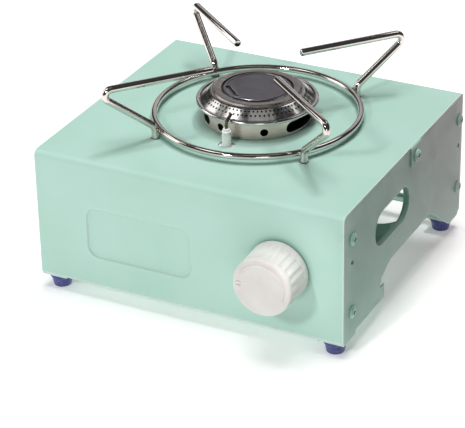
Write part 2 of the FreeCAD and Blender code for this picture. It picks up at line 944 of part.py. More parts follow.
def burner_disc():
    profile = [
        (0, 0, 0),
        (disc_radius, 0, 0),
        (disc_radius, disc_edge, disc_edge / 2),
        (disc_radius - 2 * disc_edge, disc_crown, disc_crown),
        (0, disc_crown, 0),
    ]
    seat = burner + Z_AXIS * cone_high_up
    disc = turned(profile, seat, Z_AXIS)
    middle = on_circle(seat, disc_slot_radius, disc_slot_angle, disc_crown)
    outward = (middle - seat - Z_AXIS * disc_crown).normalize()
    along = V(-outward.y, outward.x, 0)
    half_long = disc_slot_length / 2
    half_wide = disc_slot_width / 2
    grown = disc_slot_wall
    corner = half_wide + grown - disc_slot_end_flat
    border_centre = middle - Z_AXIS * disc_edge
    border = rectangle(border_centre, along, outward, half_long + grown, half_wide + grown, corner)
    raised = plate(border, Z_AXIS * (disc_edge + disc_slot_stand))
    floor_centre = middle - Z_AXIS * disc_slot_depth
    inside = rectangle(
        floor_centre, along, outward, half_long, half_wide, half_wide - disc_slot_end_flat
    )
    slot = plate(inside, Z_AXIS * (disc_slot_depth + 2 * disc_slot_stand))
    inside_disc = rod(seat, Z_AXIS, disc_radius - disc_edge, 2 * disc_crown)
    return fused([disc, raised.common(inside_disc)]).cut(slot)


def mixing_path():
    """Corners of the mixing tube, from its bell to inside the burner's neck."""
    high = neck_z + mixing_in_neck
    return [
        (V(bell_x - bell_length, mixing_y, mixing_z), 0),
        (V(burner_x, mixing_y, mixing_z), mixing_bend),
        (V(burner_x, burner_y, mixing_z), mixing_rise_bend),
        (V(burner_x, burner_y, high), 0),
    ]


def mixing_tube():
    bore = mixing_radius - mixing_wall
    bell_start = V(bell_x - bell_length, mixing_y, mixing_z)
    outside = Part.makeCone(mixing_radius, bell_radius, bell_length, bell_start, X_AXIS)
    inside = Part.makeCone(bore, bell_radius - mixing_wall, bell_length, bell_start, X_AXIS)
    solid = fused([bent_rod(mixing_path(), mixing_radius), outside])
    return without(solid, [bent_rod(mixing_path(), bore), inside])


def burner_bracket():
    """A strap under the top that the neck rests in, folded from one strip."""
    across = (burner_x - strap_half_width, burner_x + strap_half_width)
    wide = mixing_radius + strap
    reach = strap_leg_reach
    seat_depth = (burner_y - reach, burner_y + reach)
    pieces = [block(across, seat_depth, (neck_z - strap, neck_z))]
    pieces.append(rod(V(burner_x, burner_y, neck_z - strap), Z_AXIS, wide, strap))
    end = burner_screw_circle + 2 * burner_screw_radius
    for side in (-1, 1):
        leg = sorted((burner_y + side * reach, burner_y + side * (reach - strap)))
        pieces.append(block(across, leg, (neck_z - strap, under_z)))
        wing = sorted((burner_y + side * (reach - strap), burner_y + side * end))
        pieces.append(block(across, wing, (under_z - strap, under_z)))
    folded = fused(pieces)
    cuts = [rod(V(burner_x, burner_y, 0), Z_AXIS, neck_inner_radius, top_z)]
    for seat_point in burner_screw_points():
        cuts.append(rod(V(seat_point.x, seat_point.y, 0), Z_AXIS, burner_screw_radius + thread_gap, top_z))
    return without(folded, cuts)


def burner_screws():
    size = (burner_screw_radius, burner_screw_length, burner_head_radius, burner_head_height)
    return Part.makeCompound([screw(seat, -Z_AXIS, *size) for seat in burner_screw_points()])


# ---- Electrode and ignition lead ----
def electrode_insulator():
    base = V(burner_x, electrode_y, under_z)
    top = sheet + ceramic_up
    bore = wire_radius + wire_gap
    profile = [
        (bore, -ceramic_down, 0),
        (ceramic_radius, -ceramic_down, edge_round),
        (ceramic_radius, -collar_height, 0),
        (collar_radius, -collar_height, edge_round),
        (collar_radius, 0, 0),
        (ceramic_radius, 0, 0),
        (ceramic_radius, top - ceramic_tip_length, edge_round),
        (ceramic_tip_radius, top - ceramic_tip_length, 0),
        (ceramic_tip_radius, top, edge_round),
        (bore, top, 0),
    ]
    return turned(profile, base, Z_AXIS)


def electrode_rod():
    low = under_z - ceramic_down - terminal_length
    high = top_z + ceramic_up + spark_rise
    corners = [
        (V(burner_x, electrode_y, low), 0),
        (V(burner_x, electrode_y, high), spark_bend),
        (V(burner_x, electrode_y + spark_lean, high + spark_tip_rise), 0),
    ]
    return bent_rod(corners, wire_radius)


def electrode_bracket():
    """A saddle under the top that holds the insulator's collar against it."""
    low = under_z - collar_height
    depth = (electrode_y - saddle_half_width, electrode_y + saddle_half_width)
    across = (burner_x - saddle_half_length, burner_x + saddle_half_length)
    pieces = [block(across, depth, (low - sheet, low))]
    for side in (-1, 1):
        inner = burner_x + side * (saddle_half_length - sheet)
        outer = burner_x + side * saddle_half_length
        foot_end = burner_x + side * (saddle_half_length + saddle_foot)
        pieces.append(block(sorted((inner, outer)), depth, (low - sheet, under_z)))
        pieces.append(block(sorted((inner, foot_end)), depth, (under_z - sheet, under_z)))
    hole = rod(V(burner_x, electrode_y, 0), Z_AXIS, ceramic_radius + saddle_gap, top_z)
    return fused(pieces).cut(hole)


def lead_route():
    """The lead's chosen points, from the piezo unit's terminal to the electrode."""
    terminal = V(piezo_end - piezo_terminal, piezo_y, cartridge_z)
    electrode = V(burner_x, electrode_y, under_z - ceramic_down - terminal_length)
    return [
        terminal,
        terminal + V(-22.0, 0.0, 0.0),
        terminal + V(-36.0, 8.0, 5.0),
        electrode + V(-26.0, -14.0, -13.0),
        electrode + V(-13.0, -3.0, -13.0),
        electrode + V(0.0, 0.0, -7.0),
        electrode,
    ]


def ignition_lead():
    route = lead_route()
    corners = [(route[0], 0)]
    for before, point, after in zip(route, route[1:], route[2:]):
        arrive = point - before
        leave = after - point
        shorter = min(arrive.Length, leave.Length)
        radius = lead_arc_share * shorter / math.tan(arrive.getAngle(leave) / 2)
        print("lead bend", round(radius, 1))
        corners.append((point, radius))
    corners.append((route[-1], 0))
    return bent_rod(corners, lead_radius)


def lead_clip():
    """A nylon saddle on the inside of the front panel, round the lead."""
    middle = piezo_end - piezo_terminal - clip_beside_piezo
    wide = lead_radius + clip_wall
    base = V(middle - clip_half, piezo_y, cartridge_z)
    across = (middle - clip_half, middle + clip_half)
    up = (cartridge_z - wide, cartridge_z + wide)
    body = block(across, (front_in, piezo_y), up)
    round_part = rod(base, X_AXIS, wide, 2 * clip_half)
    return fused([body, round_part]).cut(rod(base, X_AXIS, lead_radius, 2 * clip_half))


def piezo_body():
    bore = plunger_radius + spindle_gap
    depth = plunger_inside + cam_lift + plunger_slack
    profile = [
        (bore, 0, 0),
        (piezo_flange_radius, 0, edge_round),
        (piezo_flange_radius, piezo_flange, 0),
        (piezo_radius, piezo_flange, 0),
        (piezo_radius, piezo_length, edge_round),
        (wire_radius, piezo_length, 0),
        (wire_radius, piezo_length + piezo_terminal, 0),
        (0, piezo_length + piezo_terminal, 0),
        (0, depth, 0),
        (bore, depth, 0),
    ]
    return turned(profile, V(piezo_face, piezo_y, cartridge_z), -X_AXIS)


def piezo_plunger():
    profile = [
        (0, 0, 0),
        (plunger_radius, 0, plunger_tip),
        (plunger_radius, plunger_shown + plunger_inside, 0),
        (0, plunger_shown + plunger_inside, 0),
    ]
    return turned(profile, V(plunger_x, piezo_y, cartridge_z), -X_AXIS)


def piezo_bracket():
    """A channel on the inside of the front panel with two ears that the piezo unit lies in."""
    first = piezo_face - piezo_flange - ear_sheet
    second = first - ear_spacing
    up = (cartridge_z - ear_half_width, cartridge_z + ear_half_width)
    back = piezo_y + ear_half_width
    pieces = [block((second, first + ear_sheet), (front_in, front_in + ear_sheet), up)]
    for x in (first, second):
        pieces.append(block((x, x + ear_sheet), (front_in, back), up))
    start = V(second - ear_sheet, piezo_y, cartridge_z)
    hole = rod(start, X_AXIS, piezo_radius + spindle_gap, 2 * ear_spacing)
    return fused(pieces).cut(hole)


# ---- Knob, spindle and cam ----
def knob():
    inner = knob_radius - knob_wall
    roof = knob_length - knob_face_recess - knob_wall
    face = knob_length - knob_face_recess
    rim_in = knob_radius - knob_taper - knob_rim
    profile = [
        (inner, 0, 0),
        (knob_radius, 0, edge_round),
        (knob_radius - knob_taper, knob_length, knob_edge),
        (rim_in, knob_length, edge_round),
        (rim_in - knob_face_recess, face, edge_round),
        (0, face, 0),
        (0, roof, 0),
        (inner - knob_taper, roof, 0),
    ]
    base = V(0, 0, 0)
    shell = turned(profile, base, Z_AXIS)
    hub = rod(base, Z_AXIS, hub_radius, roof + spindle_gap)
    pieces = [shell, hub]
    for shift in (-pointer_pitch / 2, pointer_pitch / 2):
        far = -(rim_in - 2 * knob_face_recess)
        across = (shift - pointer_width / 2, shift + pointer_width / 2)
        pieces.append(block((far, far + pointer_length), across, (roof, face + pointer_stand)))
    solid = fused(pieces)
    groove = sleeve(
        base + Z_AXIS * (face - level_groove_depth),
        Z_AXIS,
        level_groove_radius,
        level_groove_radius - level_groove_width,
        knob_wall,
    )
    sweep = Part.makeCylinder(knob_radius, 2 * knob_length, base, Z_AXIS, level_groove_sweep)
    sweep.rotate(base, Z_AXIS, level_groove_from)
    cuts = [groove.common(sweep)]
    for index in range(flute_count):
        angle = index * 2 * HALF_TURN / flute_count
        centre = on_circle(base, knob_radius + flute_radius - flute_depth, angle, flute_start)
        cuts.append(rod(centre, Z_AXIS, flute_radius, flute_length))
    bore = rod(base, Z_AXIS, shaft_radius + spindle_gap, shaft_in_knob)
    flat_x = shaft_radius - shaft_flat + spindle_gap
    flat = block((flat_x, 2 * shaft_radius), (-shaft_radius, shaft_radius), (0, knob_length))
    cuts.append(bore.cut(flat))
    solid = without(solid, cuts)
    centre = V(cartridge_x, front_y - knob_gap, cartridge_z)
    solid.Placement = FreeCAD.Placement(centre, FreeCAD.Rotation(X_AXIS, HALF_TURN / 2))
    return solid


def valve_spindle():
    start = front_y - knob_gap - shaft_in_knob
    base = V(cartridge_x, start, cartridge_z)
    plug_from = block_front + spindle_gap - start
    shaft = rod(base, Y_AXIS, shaft_radius, plug_from)
    plug = rod(base + Y_AXIS * plug_from, Y_AXIS, plug_radius, plug_length - spindle_gap)
    flat_x = (cartridge_x + shaft_radius - shaft_flat, cartridge_x + 2 * shaft_radius)
    flat_z = (cartridge_z - shaft_radius, cartridge_z + shaft_radius)
    flat = block(flat_x, (start, start + shaft_in_knob), flat_z)
    port_start = V(cartridge_x, drum_y, cartridge_z - 2 * plug_radius)
    port = rod(port_start, Z_AXIS, port_bore_radius, 4 * plug_radius)
    groove_y = block_front + seal_back
    groove = sleeve(
        V(cartridge_x, groove_y, cartridge_z),
        Y_AXIS,
        2 * plug_radius,
        plug_radius - seal_groove_depth,
        seal_groove_width,
    )
    return without(fused([shaft, plug]), [flat, port, groove])


def spindle_seal():
    centre = V(cartridge_x, block_front + seal_back + seal_groove_width / 2, cartridge_z)
    return Part.makeTorus(plug_radius - seal_bead - spindle_gap, seal_bead, centre, Y_AXIS)


def spindle_cam():
    """A cam whose radius grows evenly with the angle, so that the plunger keeps pace with the knob."""
    growth = cam_lift / math.radians(knob_travel)
    overrun = math.radians(cam_overrun)
    first = math.pi + overrun
    last = math.pi - math.radians(knob_travel) - overrun
    centre = V(cartridge_x, cam_y, cartridge_z)
    curve_points = []
    for index in range(cam_points):
        angle = first + (last - first) * index / (cam_points - 1)
        radius = cam_rest_radius + growth * (math.pi - angle)
        curve_points.append(centre + V(radius * math.cos(angle), 0, radius * math.sin(angle)))
    spiral = Part.BSplineCurve()
    spiral.interpolate(curve_points)
    sides = [
        Part.LineSegment(centre, curve_points[0]).toShape(),
        spiral.toShape(),
        Part.LineSegment(curve_points[-1], centre).toShape(),
    ]
    lobe = Part.Face(Part.Wire(sides)).extrude(Y_AXIS * cam_width)
    base = rod(centre, Y_AXIS, cam_rest_radius, cam_width)
    return fused([base, lobe]).cut(rod(centre, Y_AXIS, shaft_radius + spindle_gap, cam_width))


# ---- Regulator ----
def cover_screw_points(height):
    """Places of the cover's four screws at a height."""
    centre = V(cartridge_x, drum_y, height)
    quarter = HALF_TURN / 2
    return [on_circle(centre, cover_screw_circle, quarter / 2 + index * quarter) for index in range(4)]


def holder_screw_points():
    """Seats of the two screws that hold the magnet holder to the block."""
    turn = math.radians(holder_screw_angle)
    step = V(holder_screw_circle * math.cos(turn), 0, holder_screw_circle * math.sin(turn))
    centre = V(cartridge_x, block_back + holder_sheet, cartridge_z)
    return [centre + step, centre - step]


def regulator_body():
    axis_x = cartridge_x
    axis_z = cartridge_z
    centre = V(axis_x, 0, axis_z)
    square = (axis_x - block_half, axis_x + block_half)
    pieces = [block(square, (block_front, block_back), (axis_z - block_half, axis_z + block_half))]
    drum_base = V(axis_x, drum_y, drum_low)
    pieces.append(rod(drum_base, Z_AXIS, drum_radius, drum_drop + small_corner))
    pieces.append(rod(centre + Y_AXIS * (block_front - gland_length), Y_AXIS, gland_radius, 2 * gland_length))
    pieces.append(rod(centre + Y_AXIS * (block_back - nose_length), Y_AXIS, nose_radius, 2 * nose_length))
    outlet = V(outlet_x, mixing_y, mixing_z)
    pieces.append(rod(outlet, X_AXIS, outlet_radius, 2 * outlet_length))
    cuts = []
    for side, seat in zip((-1, 1), valve_screw_points()):
        post = rod(V(seat.x, front_in, seat.z), Y_AXIS, post_radius, block_from_front + post_lug - sheet)
        lug_z_span = sorted((axis_z + side * (block_half - sheet), seat.z + side * post_radius))
        lug_x = (axis_x - post_radius, axis_x + post_radius)
        pieces.append(fused([post, block(lug_x, (block_front, block_front + post_lug), lug_z_span)]))
        cuts.append(rod(seat, Y_AXIS, valve_screw_radius + thread_gap, valve_screw_length + sheet))
    plug_end = block_front + plug_length + spindle_gap
    plug_start = centre + Y_AXIS * block_front
    cuts.append(rod(plug_start, Y_AXIS, plug_radius + spindle_gap, plug_end - block_front))
    shaft_bore = rod(centre + Y_AXIS * front_in, Y_AXIS, shaft_radius + spindle_gap, block_from_front)
    cuts.append(shaft_bore)
    cuts.append(rod(V(axis_x, plug_end, axis_z), Y_AXIS, inlet_radius, nose_y - plug_end))
    cuts.append(rod(drum_base, Z_AXIS, chamber_radius, chamber_depth))
    cuts.append(rod(V(axis_x, drum_y, drum_low), Z_AXIS, port_bore_radius, axis_z - drum_low))
    feed_y = drum_y + chamber_radius - 2 * port_bore_radius
    cuts.append(rod(V(axis_x, feed_y, drum_low), Z_AXIS, port_bore_radius, axis_z - drum_low))
    cuts.append(rod(outlet, X_AXIS, port_bore_radius, axis_x - outlet_x))
    for point in cover_screw_points(drum_low):
        cuts.append(rod(point, Z_AXIS, cover_screw_radius + thread_gap, drum_drop - sheet))
    for seat in holder_screw_points():
        radius = holder_screw_radius + thread_gap
        cuts.append(rod(V(seat.x, block_back, seat.z), -Y_AXIS, radius, holder_screw_length))
    return without(fused(pieces), cuts)


def gas_jet():
    base = V(outlet_x, mixing_y, mixing_z)
    profile = [
        (jet_bore_radius, 0, 0),
        (jet_radius, 0, 0),
        (jet_radius, jet_length, edge_round),
        (jet_tip_radius, jet_length, 0),
        (jet_tip_radius, jet_length + jet_tip_length, edge_round),
        (jet_bore_radius, jet_length + jet_tip_length, 0),
    ]
    return turned(profile, base, -X_AXIS)


def regulator_diaphragm():
    base = V(cartridge_x, drum_y, cover_top)
    disc = rod(base, Z_AXIS, drum_radius - diaphragm_edge, diaphragm_thickness)
    radius = cover_screw_radius + screw_clearance
    holes = [rod(point, Z_AXIS, radius, diaphragm_thickness) for point in cover_screw_points(cover_top)]
    return without(disc, holes)


def regulator_cover():
    base = V(cartridge_x, drum_y, cover_top)
    profile = [
        (tower_bore, 0, 0),
        (drum_radius, 0, 0),
        (drum_radius, cover_flange, edge_round),
        (tower_radius, cover_flange, 0),
        (tower_radius, tower_length, edge_round),
        (tower_bore, tower_length, 0),
    ]
    cover = turned(profile, base, -Z_AXIS)
    radius = cover_screw_radius + screw_clearance
    holes = []
    for point in cover_screw_points(cover_top):
        holes.append(rod(point, -Z_AXIS, radius, cover_flange))
    return without(cover, holes)


def regulator_adjuster():
    base = V(cartridge_x, drum_y, tower_low)
    plug = rod(base, Z_AXIS, tower_bore - thread_gap, adjuster_length)
    half = adjuster_slot / 2
    slot_x = (cartridge_x - tower_bore, cartridge_x + tower_bore)
    return plug.cut(block(slot_x, (drum_y - half, drum_y + half), (tower_low, tower_low + adjuster_slot)))


def regulator_spring():
    """A coil between the adjuster and the diaphragm, just clear of both."""
    low = tower_low + adjuster_length + spring_wire + spindle_gap
    high = cover_top - spring_wire - spindle_gap
    pitch = (high - low) / spring_turns
    helix = Part.makeHelix(pitch, high - low, spring_radius)
    section = Part.Wire(Part.makeCircle(spring_wire, V(spring_radius, 0, 0), Y_AXIS))
    coil = Part.Wire(helix).makePipeShell([section], True, True)
    coil.translate(V(cartridge_x, drum_y, low))
    return coil


def cover_screws():
    size = (cover_screw_radius, cover_screw_length, cover_head_radius, cover_head_height)
    points = cover_screw_points(cover_top - cover_flange)
    return Part.makeCompound([screw(point, Z_AXIS, *size) for point in points])


def valve_screws():
    size = (valve_screw_radius, valve_screw_length, valve_head_radius, valve_head_height)
    return Part.makeCompound([screw(seat, Y_AXIS, *size) for seat in valve_screw_points()])


# ---- Cartridge connector ----
def connector_socket():
    base = V(cartridge_x, nose_y, cartridge_z)
    profile = [
        (inlet_radius, 0, 0),
        (nose_radius, 0, 0),
        (nose_radius, socket_flange, edge_round),
        (socket_radius, socket_flange, 0),
        (socket_radius, socket_length, edge_round),
        (socket_bore, socket_length, 0),
        (socket_bore, socket_flange, 0),
        (inlet_radius, socket_flange, 0),
    ]
    return turned(profile, base, Y_AXIS)


def connector_seal():
    base = V(cartridge_x, nose_y + socket_flange, cartridge_z)
    return sleeve(base, Y_AXIS, socket_bore - socket_seal_gap, socket_seal_bore, socket_seal)


def connector_pin():
    start = nose_y - inlet_depth / 2
    flange_end = nose_y + socket_flange
    profile = [
        (0, 0, 0),
        (inlet_radius - thread_gap, 0, 0),
        (inlet_radius - thread_gap, flange_end - start, 0),
        (pin_tip_radius, flange_end - start, 0),
        (pin_tip_radius, flange_end - start + pin_tip_length, edge_round / 2),
        (0, flange_end - start + pin_tip_length, 0),
    ]
    return turned(profile, V(cartridge_x, start, cartridge_z), Y_AXIS)


def magnet_holder():
    base = V(cartridge_x, block_back, cartridge_z)
    profile = [
        (nose_radius + spindle_gap, 0, 0),
        (holder_radius, 0, small_corner),
        (holder_radius, holder_depth, 0),
        (holder_radius - holder_sheet, holder_depth, 0),
        (holder_radius - holder_sheet, holder_sheet, 0),
        (nose_radius + spindle_gap, holder_sheet, 0),
    ]
    cup = turned(profile, base, Y_AXIS)
    tongue_x = (cartridge_x - tongue_half, cartridge_x + tongue_half)
    tongue_z = (cartridge_z + tongue_up - holder_sheet, cartridge_z + tongue_up)
    tongue = block(tongue_x, (block_back, block_back + tongue_length), tongue_z)
    radius = holder_screw_radius + screw_clearance
    holes = [rod(seat - Y_AXIS * (2 * holder_sheet), Y_AXIS, radius, 3 * holder_sheet)
             for seat in holder_screw_points()]
    return without(fused([cup, tongue]), holes)


def magnet_ring():
    base = V(cartridge_x, block_back + holder_sheet, cartridge_z)
    outer = holder_radius - holder_sheet - magnet_gap
    return sleeve(base, Y_AXIS, outer, magnet_inner, magnet_length)


def holder_screws():
    size = (holder_screw_radius, holder_screw_length, holder_head_radius, holder_head_height)
    return Part.makeCompound([screw(seat, -Y_AXIS, *size) for seat in holder_screw_points()])


# ---- Every piece, by name ----
os.makedirs("parts", exist_ok=True)
right_panel = side_panel()
save("top_shell", top_shell())
save("side_panel_right", right_panel)
save("side_panel_left", mirrored(right_panel))
save("rear_panel", rear_panel())
save("base_plate", base_plate())
save("partition", partition())
save("cartridge_cradle", cartridge_cradle())
for foot_name, foot_point in foot_points().items():
    save(foot_name, foot(foot_point))
save("foot_screws", foot_screws())
save("side_screws", side_screws())
save("support_ring", support_ring())
for number, arm_angle in enumerate(arm_angles(), start=1):
    save("support_arm_" + str(number), support_arm(arm_angle))
save("burner_stand", burner_stand())
save("burner_bowl", burner_bowl())
save("burner_cap", burner_cap())
save("burner_disc", burner_disc())
save("mixing_tube", mixing_tube())
save("burner_bracket", burner_bracket())
save("burner_screws", burner_screws())
save("electrode_insulator", electrode_insulator())
save("electrode_rod", electrode_rod())
save("electrode_bracket", electrode_bracket())
save("ignition_lead", ignition_lead())
save("lead_clip", lead_clip())
save("piezo_body", piezo_body())
save("piezo_plunger", piezo_plunger())
save("piezo_bracket", piezo_bracket())
save("knob", knob())
save("valve_spindle", valve_spindle())
save("spindle_seal", spindle_seal())
save("spindle_cam", spindle_cam())
save("regulator_body", regulator_body())
save("regulator_diaphragm", regulator_diaphragm())
save("regulator_cover", regulator_cover())
save("regulator_adjuster", regulator_adjuster())
save("regulator_spring", regulator_spring())
save("cover_screws", cover_screws())
save("valve_screws", valve_screws())
save("gas_jet", gas_jet())
save("connector_socket", connector_socket())
save("connector_seal", connector_seal())
save("connector_pin", connector_pin())
save("magnet_holder", magnet_holder())
save("magnet_ring", magnet_ring())
save("holder_screws", holder_screws())
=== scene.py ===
# %% [markdown]
# # A small camping stove, dressed for its picture
#
# The stove's frame comes from CAD: every part is already in its place and at its real size.
# This lesson gives each part its finish and builds afresh the parts that the eye rests on: the wire pan
# support, the burner's cap, stand and disc, the knob, the feet and the ceramic.
# Each step says what the real thing is, how it could be made in Blender, and why it is made this way.

# %% Load the frame
import json
import math

import bmesh
import bpy
from mathutils import Matrix, Vector, noise


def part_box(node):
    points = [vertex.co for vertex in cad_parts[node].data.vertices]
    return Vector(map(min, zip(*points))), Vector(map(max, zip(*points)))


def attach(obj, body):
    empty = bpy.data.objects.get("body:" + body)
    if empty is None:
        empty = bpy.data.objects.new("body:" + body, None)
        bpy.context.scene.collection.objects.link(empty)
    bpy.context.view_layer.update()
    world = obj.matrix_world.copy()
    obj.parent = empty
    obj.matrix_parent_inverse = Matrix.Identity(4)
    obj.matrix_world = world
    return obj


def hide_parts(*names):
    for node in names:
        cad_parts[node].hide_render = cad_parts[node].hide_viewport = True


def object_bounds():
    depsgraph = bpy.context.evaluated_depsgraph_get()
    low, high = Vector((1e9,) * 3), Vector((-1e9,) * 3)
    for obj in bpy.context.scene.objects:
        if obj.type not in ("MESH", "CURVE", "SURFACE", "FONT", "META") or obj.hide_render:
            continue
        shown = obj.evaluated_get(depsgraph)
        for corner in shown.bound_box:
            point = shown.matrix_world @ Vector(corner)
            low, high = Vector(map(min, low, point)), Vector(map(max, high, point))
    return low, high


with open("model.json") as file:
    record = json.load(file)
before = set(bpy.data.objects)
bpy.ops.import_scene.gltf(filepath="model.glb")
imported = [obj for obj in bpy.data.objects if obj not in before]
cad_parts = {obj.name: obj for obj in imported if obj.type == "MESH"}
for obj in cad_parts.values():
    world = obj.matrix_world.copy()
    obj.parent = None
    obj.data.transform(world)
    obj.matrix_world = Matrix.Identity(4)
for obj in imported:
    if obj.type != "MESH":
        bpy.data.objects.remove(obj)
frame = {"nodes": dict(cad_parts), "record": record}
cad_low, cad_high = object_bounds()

print("pieces from CAD:", len(frame["nodes"]))
print("size in metres:", [round(side, 4) for side in cad_high - cad_low])

# %% [markdown]
# ## Working in millimetres
#
# Sheet metal and wire are thought of in millimetres, and Blender's unit here is the metre.
# So every new shape is built in millimetres, and one scale at the very end brings it to metres.
# The places come from the CAD parts: `place` gives the box of a part in millimetres.

# %% Millimetres and places
MM = 0.001
FULL_TURN = math.tau
X, Z = Vector((1, 0, 0)), Vector((0, 0, 1))


def place(node):
    """Lowest corner, highest corner and middle of a CAD part, in millimetres."""
    low, high = (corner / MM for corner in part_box(node))
    return low, high, (low + high) / 2


def rotation(degrees, axis):
    """A turn about one of the axes, as a matrix."""
    return Matrix.Rotation(math.radians(degrees), 4, axis)


# %% [markdown]
# ## Colours
#
# A colour given as a hex code is in sRGB, but a shader mixes light, which is linear.
# One function turns one into the other, so the colours below are written as a painter would.

# %% Hex colours to linear light
def colour(code):
    """A linear RGBA colour from an sRGB hex code."""
    shades = [int(code[i:i + 2], 16) / 255 for i in (1, 3, 5)]
    linear = [s / 12.92 if s <= 0.04045 else ((s + 0.055) / 1.055) ** 2.4 for s in shades]
    return (*linear, 1.0)


print("mid grey in linear light:", round(colour("#808080")[0], 3))

# %% [markdown]
# ## Building a material
#
# A material is a small network of nodes. `add` makes one node, sets its own settings, and fills its
# sockets with numbers, colours or the outputs of other nodes. `finish_of` starts a material with its
# Principled shader and hands both back.

# %% The one function that adds a node
def add(material, kind, settings, sockets):
    """Adds a shader node; a socket takes a value, or another node's output as its link."""
    made = material.node_tree.nodes.new("ShaderNode" + kind)
    for name, value in settings.items():
        setattr(made, name, value)
    for name, value in sockets.items():
        if isinstance(value, bpy.types.NodeSocket):
            material.node_tree.links.new(value, made.inputs[name])
        else:
            made.inputs[name].default_value = value
    return made


def finish_of(name, sockets):
    """A new material with a Principled shader, and that shader."""
    material = bpy.data.materials.new(name)
    material.use_nodes = True
    shader = material.node_tree.nodes["Principled BSDF"]
    for socket, value in sockets.items():
        shader.inputs[socket].default_value = value
    return material, shader


def link(material, output, shader, socket):
    """Joins an output to one of the shader's sockets."""
    material.node_tree.links.new(output, shader.inputs[socket])


def per_metre(size_mm):
    """The Scale of a texture whose pattern repeats about once in a size in millimetres."""
    return 1 / (size_mm * MM)


# %% [markdown]
# ## Patterns that many finishes share
#
# Most of these finishes are one colour with small troubles: a slow drift of tone, fine grain in the
# gloss, and a surface that isn't quite flat. `grain` is a noise at a real size, read in Object coordinates,
# which stay put on the part when it moves. `spread` turns it into values, `tones` into colours, and
# `relief` into a bump with a height in millimetres.

# %% Shared patterns
RAMP_START, RAMP_SPAN = 0.3, 0.4


def coordinates(material):
    """Object coordinates, in metres."""
    return add(material, "TexCoord", {}, {}).outputs["Object"]


def grain(material, size_mm, detail=2.0, stretch=(1, 1, 1)):
    """Noise whose clouds are about a size across, squeezed along some axes."""
    placed = {"Vector": coordinates(material), "Scale": stretch}
    mapping = add(material, "Mapping", {}, placed)
    sockets = {"Vector": mapping.outputs["Vector"], "Scale": per_metre(size_mm), "Detail": detail}
    return add(material, "TexNoise", {}, sockets).outputs["Fac"]


def spread(material, source, low, high, first=0.35, last=0.65):
    """Values between two limits, as a source runs over its middle range."""
    sockets = {"Value": source, "From Min": first, "From Max": last, "To Min": low, "To Max": high}
    return add(material, "MapRange", {}, sockets).outputs["Result"]


def tones(material, source, codes):
    """Colours along a ramp, as a source runs over its middle range."""
    ramp = add(material, "ValToRGB", {}, {"Fac": source})
    elements = ramp.color_ramp.elements
    while len(elements) < len(codes):
        elements.new(0.5)
    for index, (element, code) in enumerate(zip(elements, codes)):
        element.position = RAMP_START + RAMP_SPAN * index / (len(codes) - 1)
        element.color = colour(code)
    return ramp.outputs["Color"]


def relief(material, source, height_mm, strength=1.0, below=None):
    """A bump of a real height, on top of another bump if there is one."""
    sockets = {"Height": source, "Distance": height_mm * MM, "Strength": strength}
    if below is not None:
        sockets["Normal"] = below
    return add(material, "Bump", {}, sockets).outputs["Normal"]


# %% [markdown]
# ## Painted shade in the corners, painted highlights on the edges
#
# The cross of a screw or the seam under a rim is painted darker than the face round it, as painted shade,
# because less light gets in there. Ambient occlusion measures how closed in each point is, and one function
# turns a colour into a darker one by that measure. An edge is the other way round: it gets a painted
# highlight. The Bevel node gives the normal that a surface would have if its edges were rounded, so wherever
# that normal leaves the true one, an edge is near. Painting both by hand would take a map for every part.

# %% Recesses and edges
ROUNDED_LIKENESS, FLAT_LIKENESS = 0.8, 0.995


def blended(material, share, tint, code):
    """A colour that turns into a plain one as a share goes from 0 to 1."""
    sockets = {"Factor": share, "A": tint, "B": colour(code)}
    return add(material, "Mix", {"data_type": "RGBA"}, sockets).outputs["Result"]


def shaded(material, tint, reach_mm, dark):
    """A colour painted darker where the surface is closed in, as painted shade."""
    reach = {"Distance": reach_mm * MM}
    open_share = add(material, "AmbientOcclusion", {"samples": 8}, reach)
    closed_share = spread(material, open_share.outputs["AO"], 1, 0, 0, 1)
    return blended(material, closed_share, tint, dark)


def near_edges(material, reach_mm):
    """From 0 on a flat to 1 on a sharp edge, by how far a rounded normal leaves the true one."""
    smooth = add(material, "Bevel", {"samples": 6}, {"Radius": reach_mm * MM})
    flat = add(material, "NewGeometry", {}, {})
    normals = {0: smooth.outputs["Normal"], 1: flat.outputs["Normal"]}
    likeness = add(material, "VectorMath", {"operation": "DOT_PRODUCT"}, normals)
    return spread(material, likeness.outputs["Value"], 1, 0, ROUNDED_LIKENESS, FLAT_LIKENESS)


# %% [markdown]
# ## Powder-coated steel, in mint
#
# The body is sheet steel, sprayed with dry powder and baked. The powder flows into a skin with a very
# fine orange peel, about a millimetre from bump to bump, and a soft satin gloss. A paler tone along folded
# edges is a painted highlight, and a darker green in the inner corners is painted shade. A slow noise drifts
# the colour and another the gloss, so that a large flat panel doesn't look like a fill.

# %% Mint powder coat
PAINTED_HIGHLIGHT_REACH = 1.5
PAINTED_HIGHLIGHT_TONE = "#E2E6EA"
PAINTED_SHADE_REACH = 4.0
PAINTED_SHADE_TONE = "#6FA593"


def powder_coat(name, codes, gloss):
    """Powder paint: drifting tone, painted highlight on edges, painted shade in corners, orange peel."""
    material, shader = finish_of(name, {"IOR": 1.5, "Specular IOR Level": 0.42})
    skin = tones(material, grain(material, 45.0), codes)
    # Painted highlight: a paler tone wherever the Bevel mask finds an edge.
    skin = blended(material, near_edges(material, PAINTED_HIGHLIGHT_REACH), skin, PAINTED_HIGHLIGHT_TONE)
    # Painted shade: a darker green wherever ambient occlusion finds a corner or a contact.
    link(material, shaded(material, skin, PAINTED_SHADE_REACH, PAINTED_SHADE_TONE), shader, "Base Color")
    link(material, spread(material, grain(material, 9.0), gloss, gloss + 0.1), shader, "Roughness")
    peel = relief(material, grain(material, 1.1, 1.0), 0.02, 0.5)
    link(material, relief(material, grain(material, 14.0), 0.05, 0.35, peel), shader, "Normal")
    return material


mint = powder_coat("powder_coated_steel_mint", ("#ABD1C2", "#AFD3C6", "#B3D5CA"), 0.36)
print("material:", mint.name)
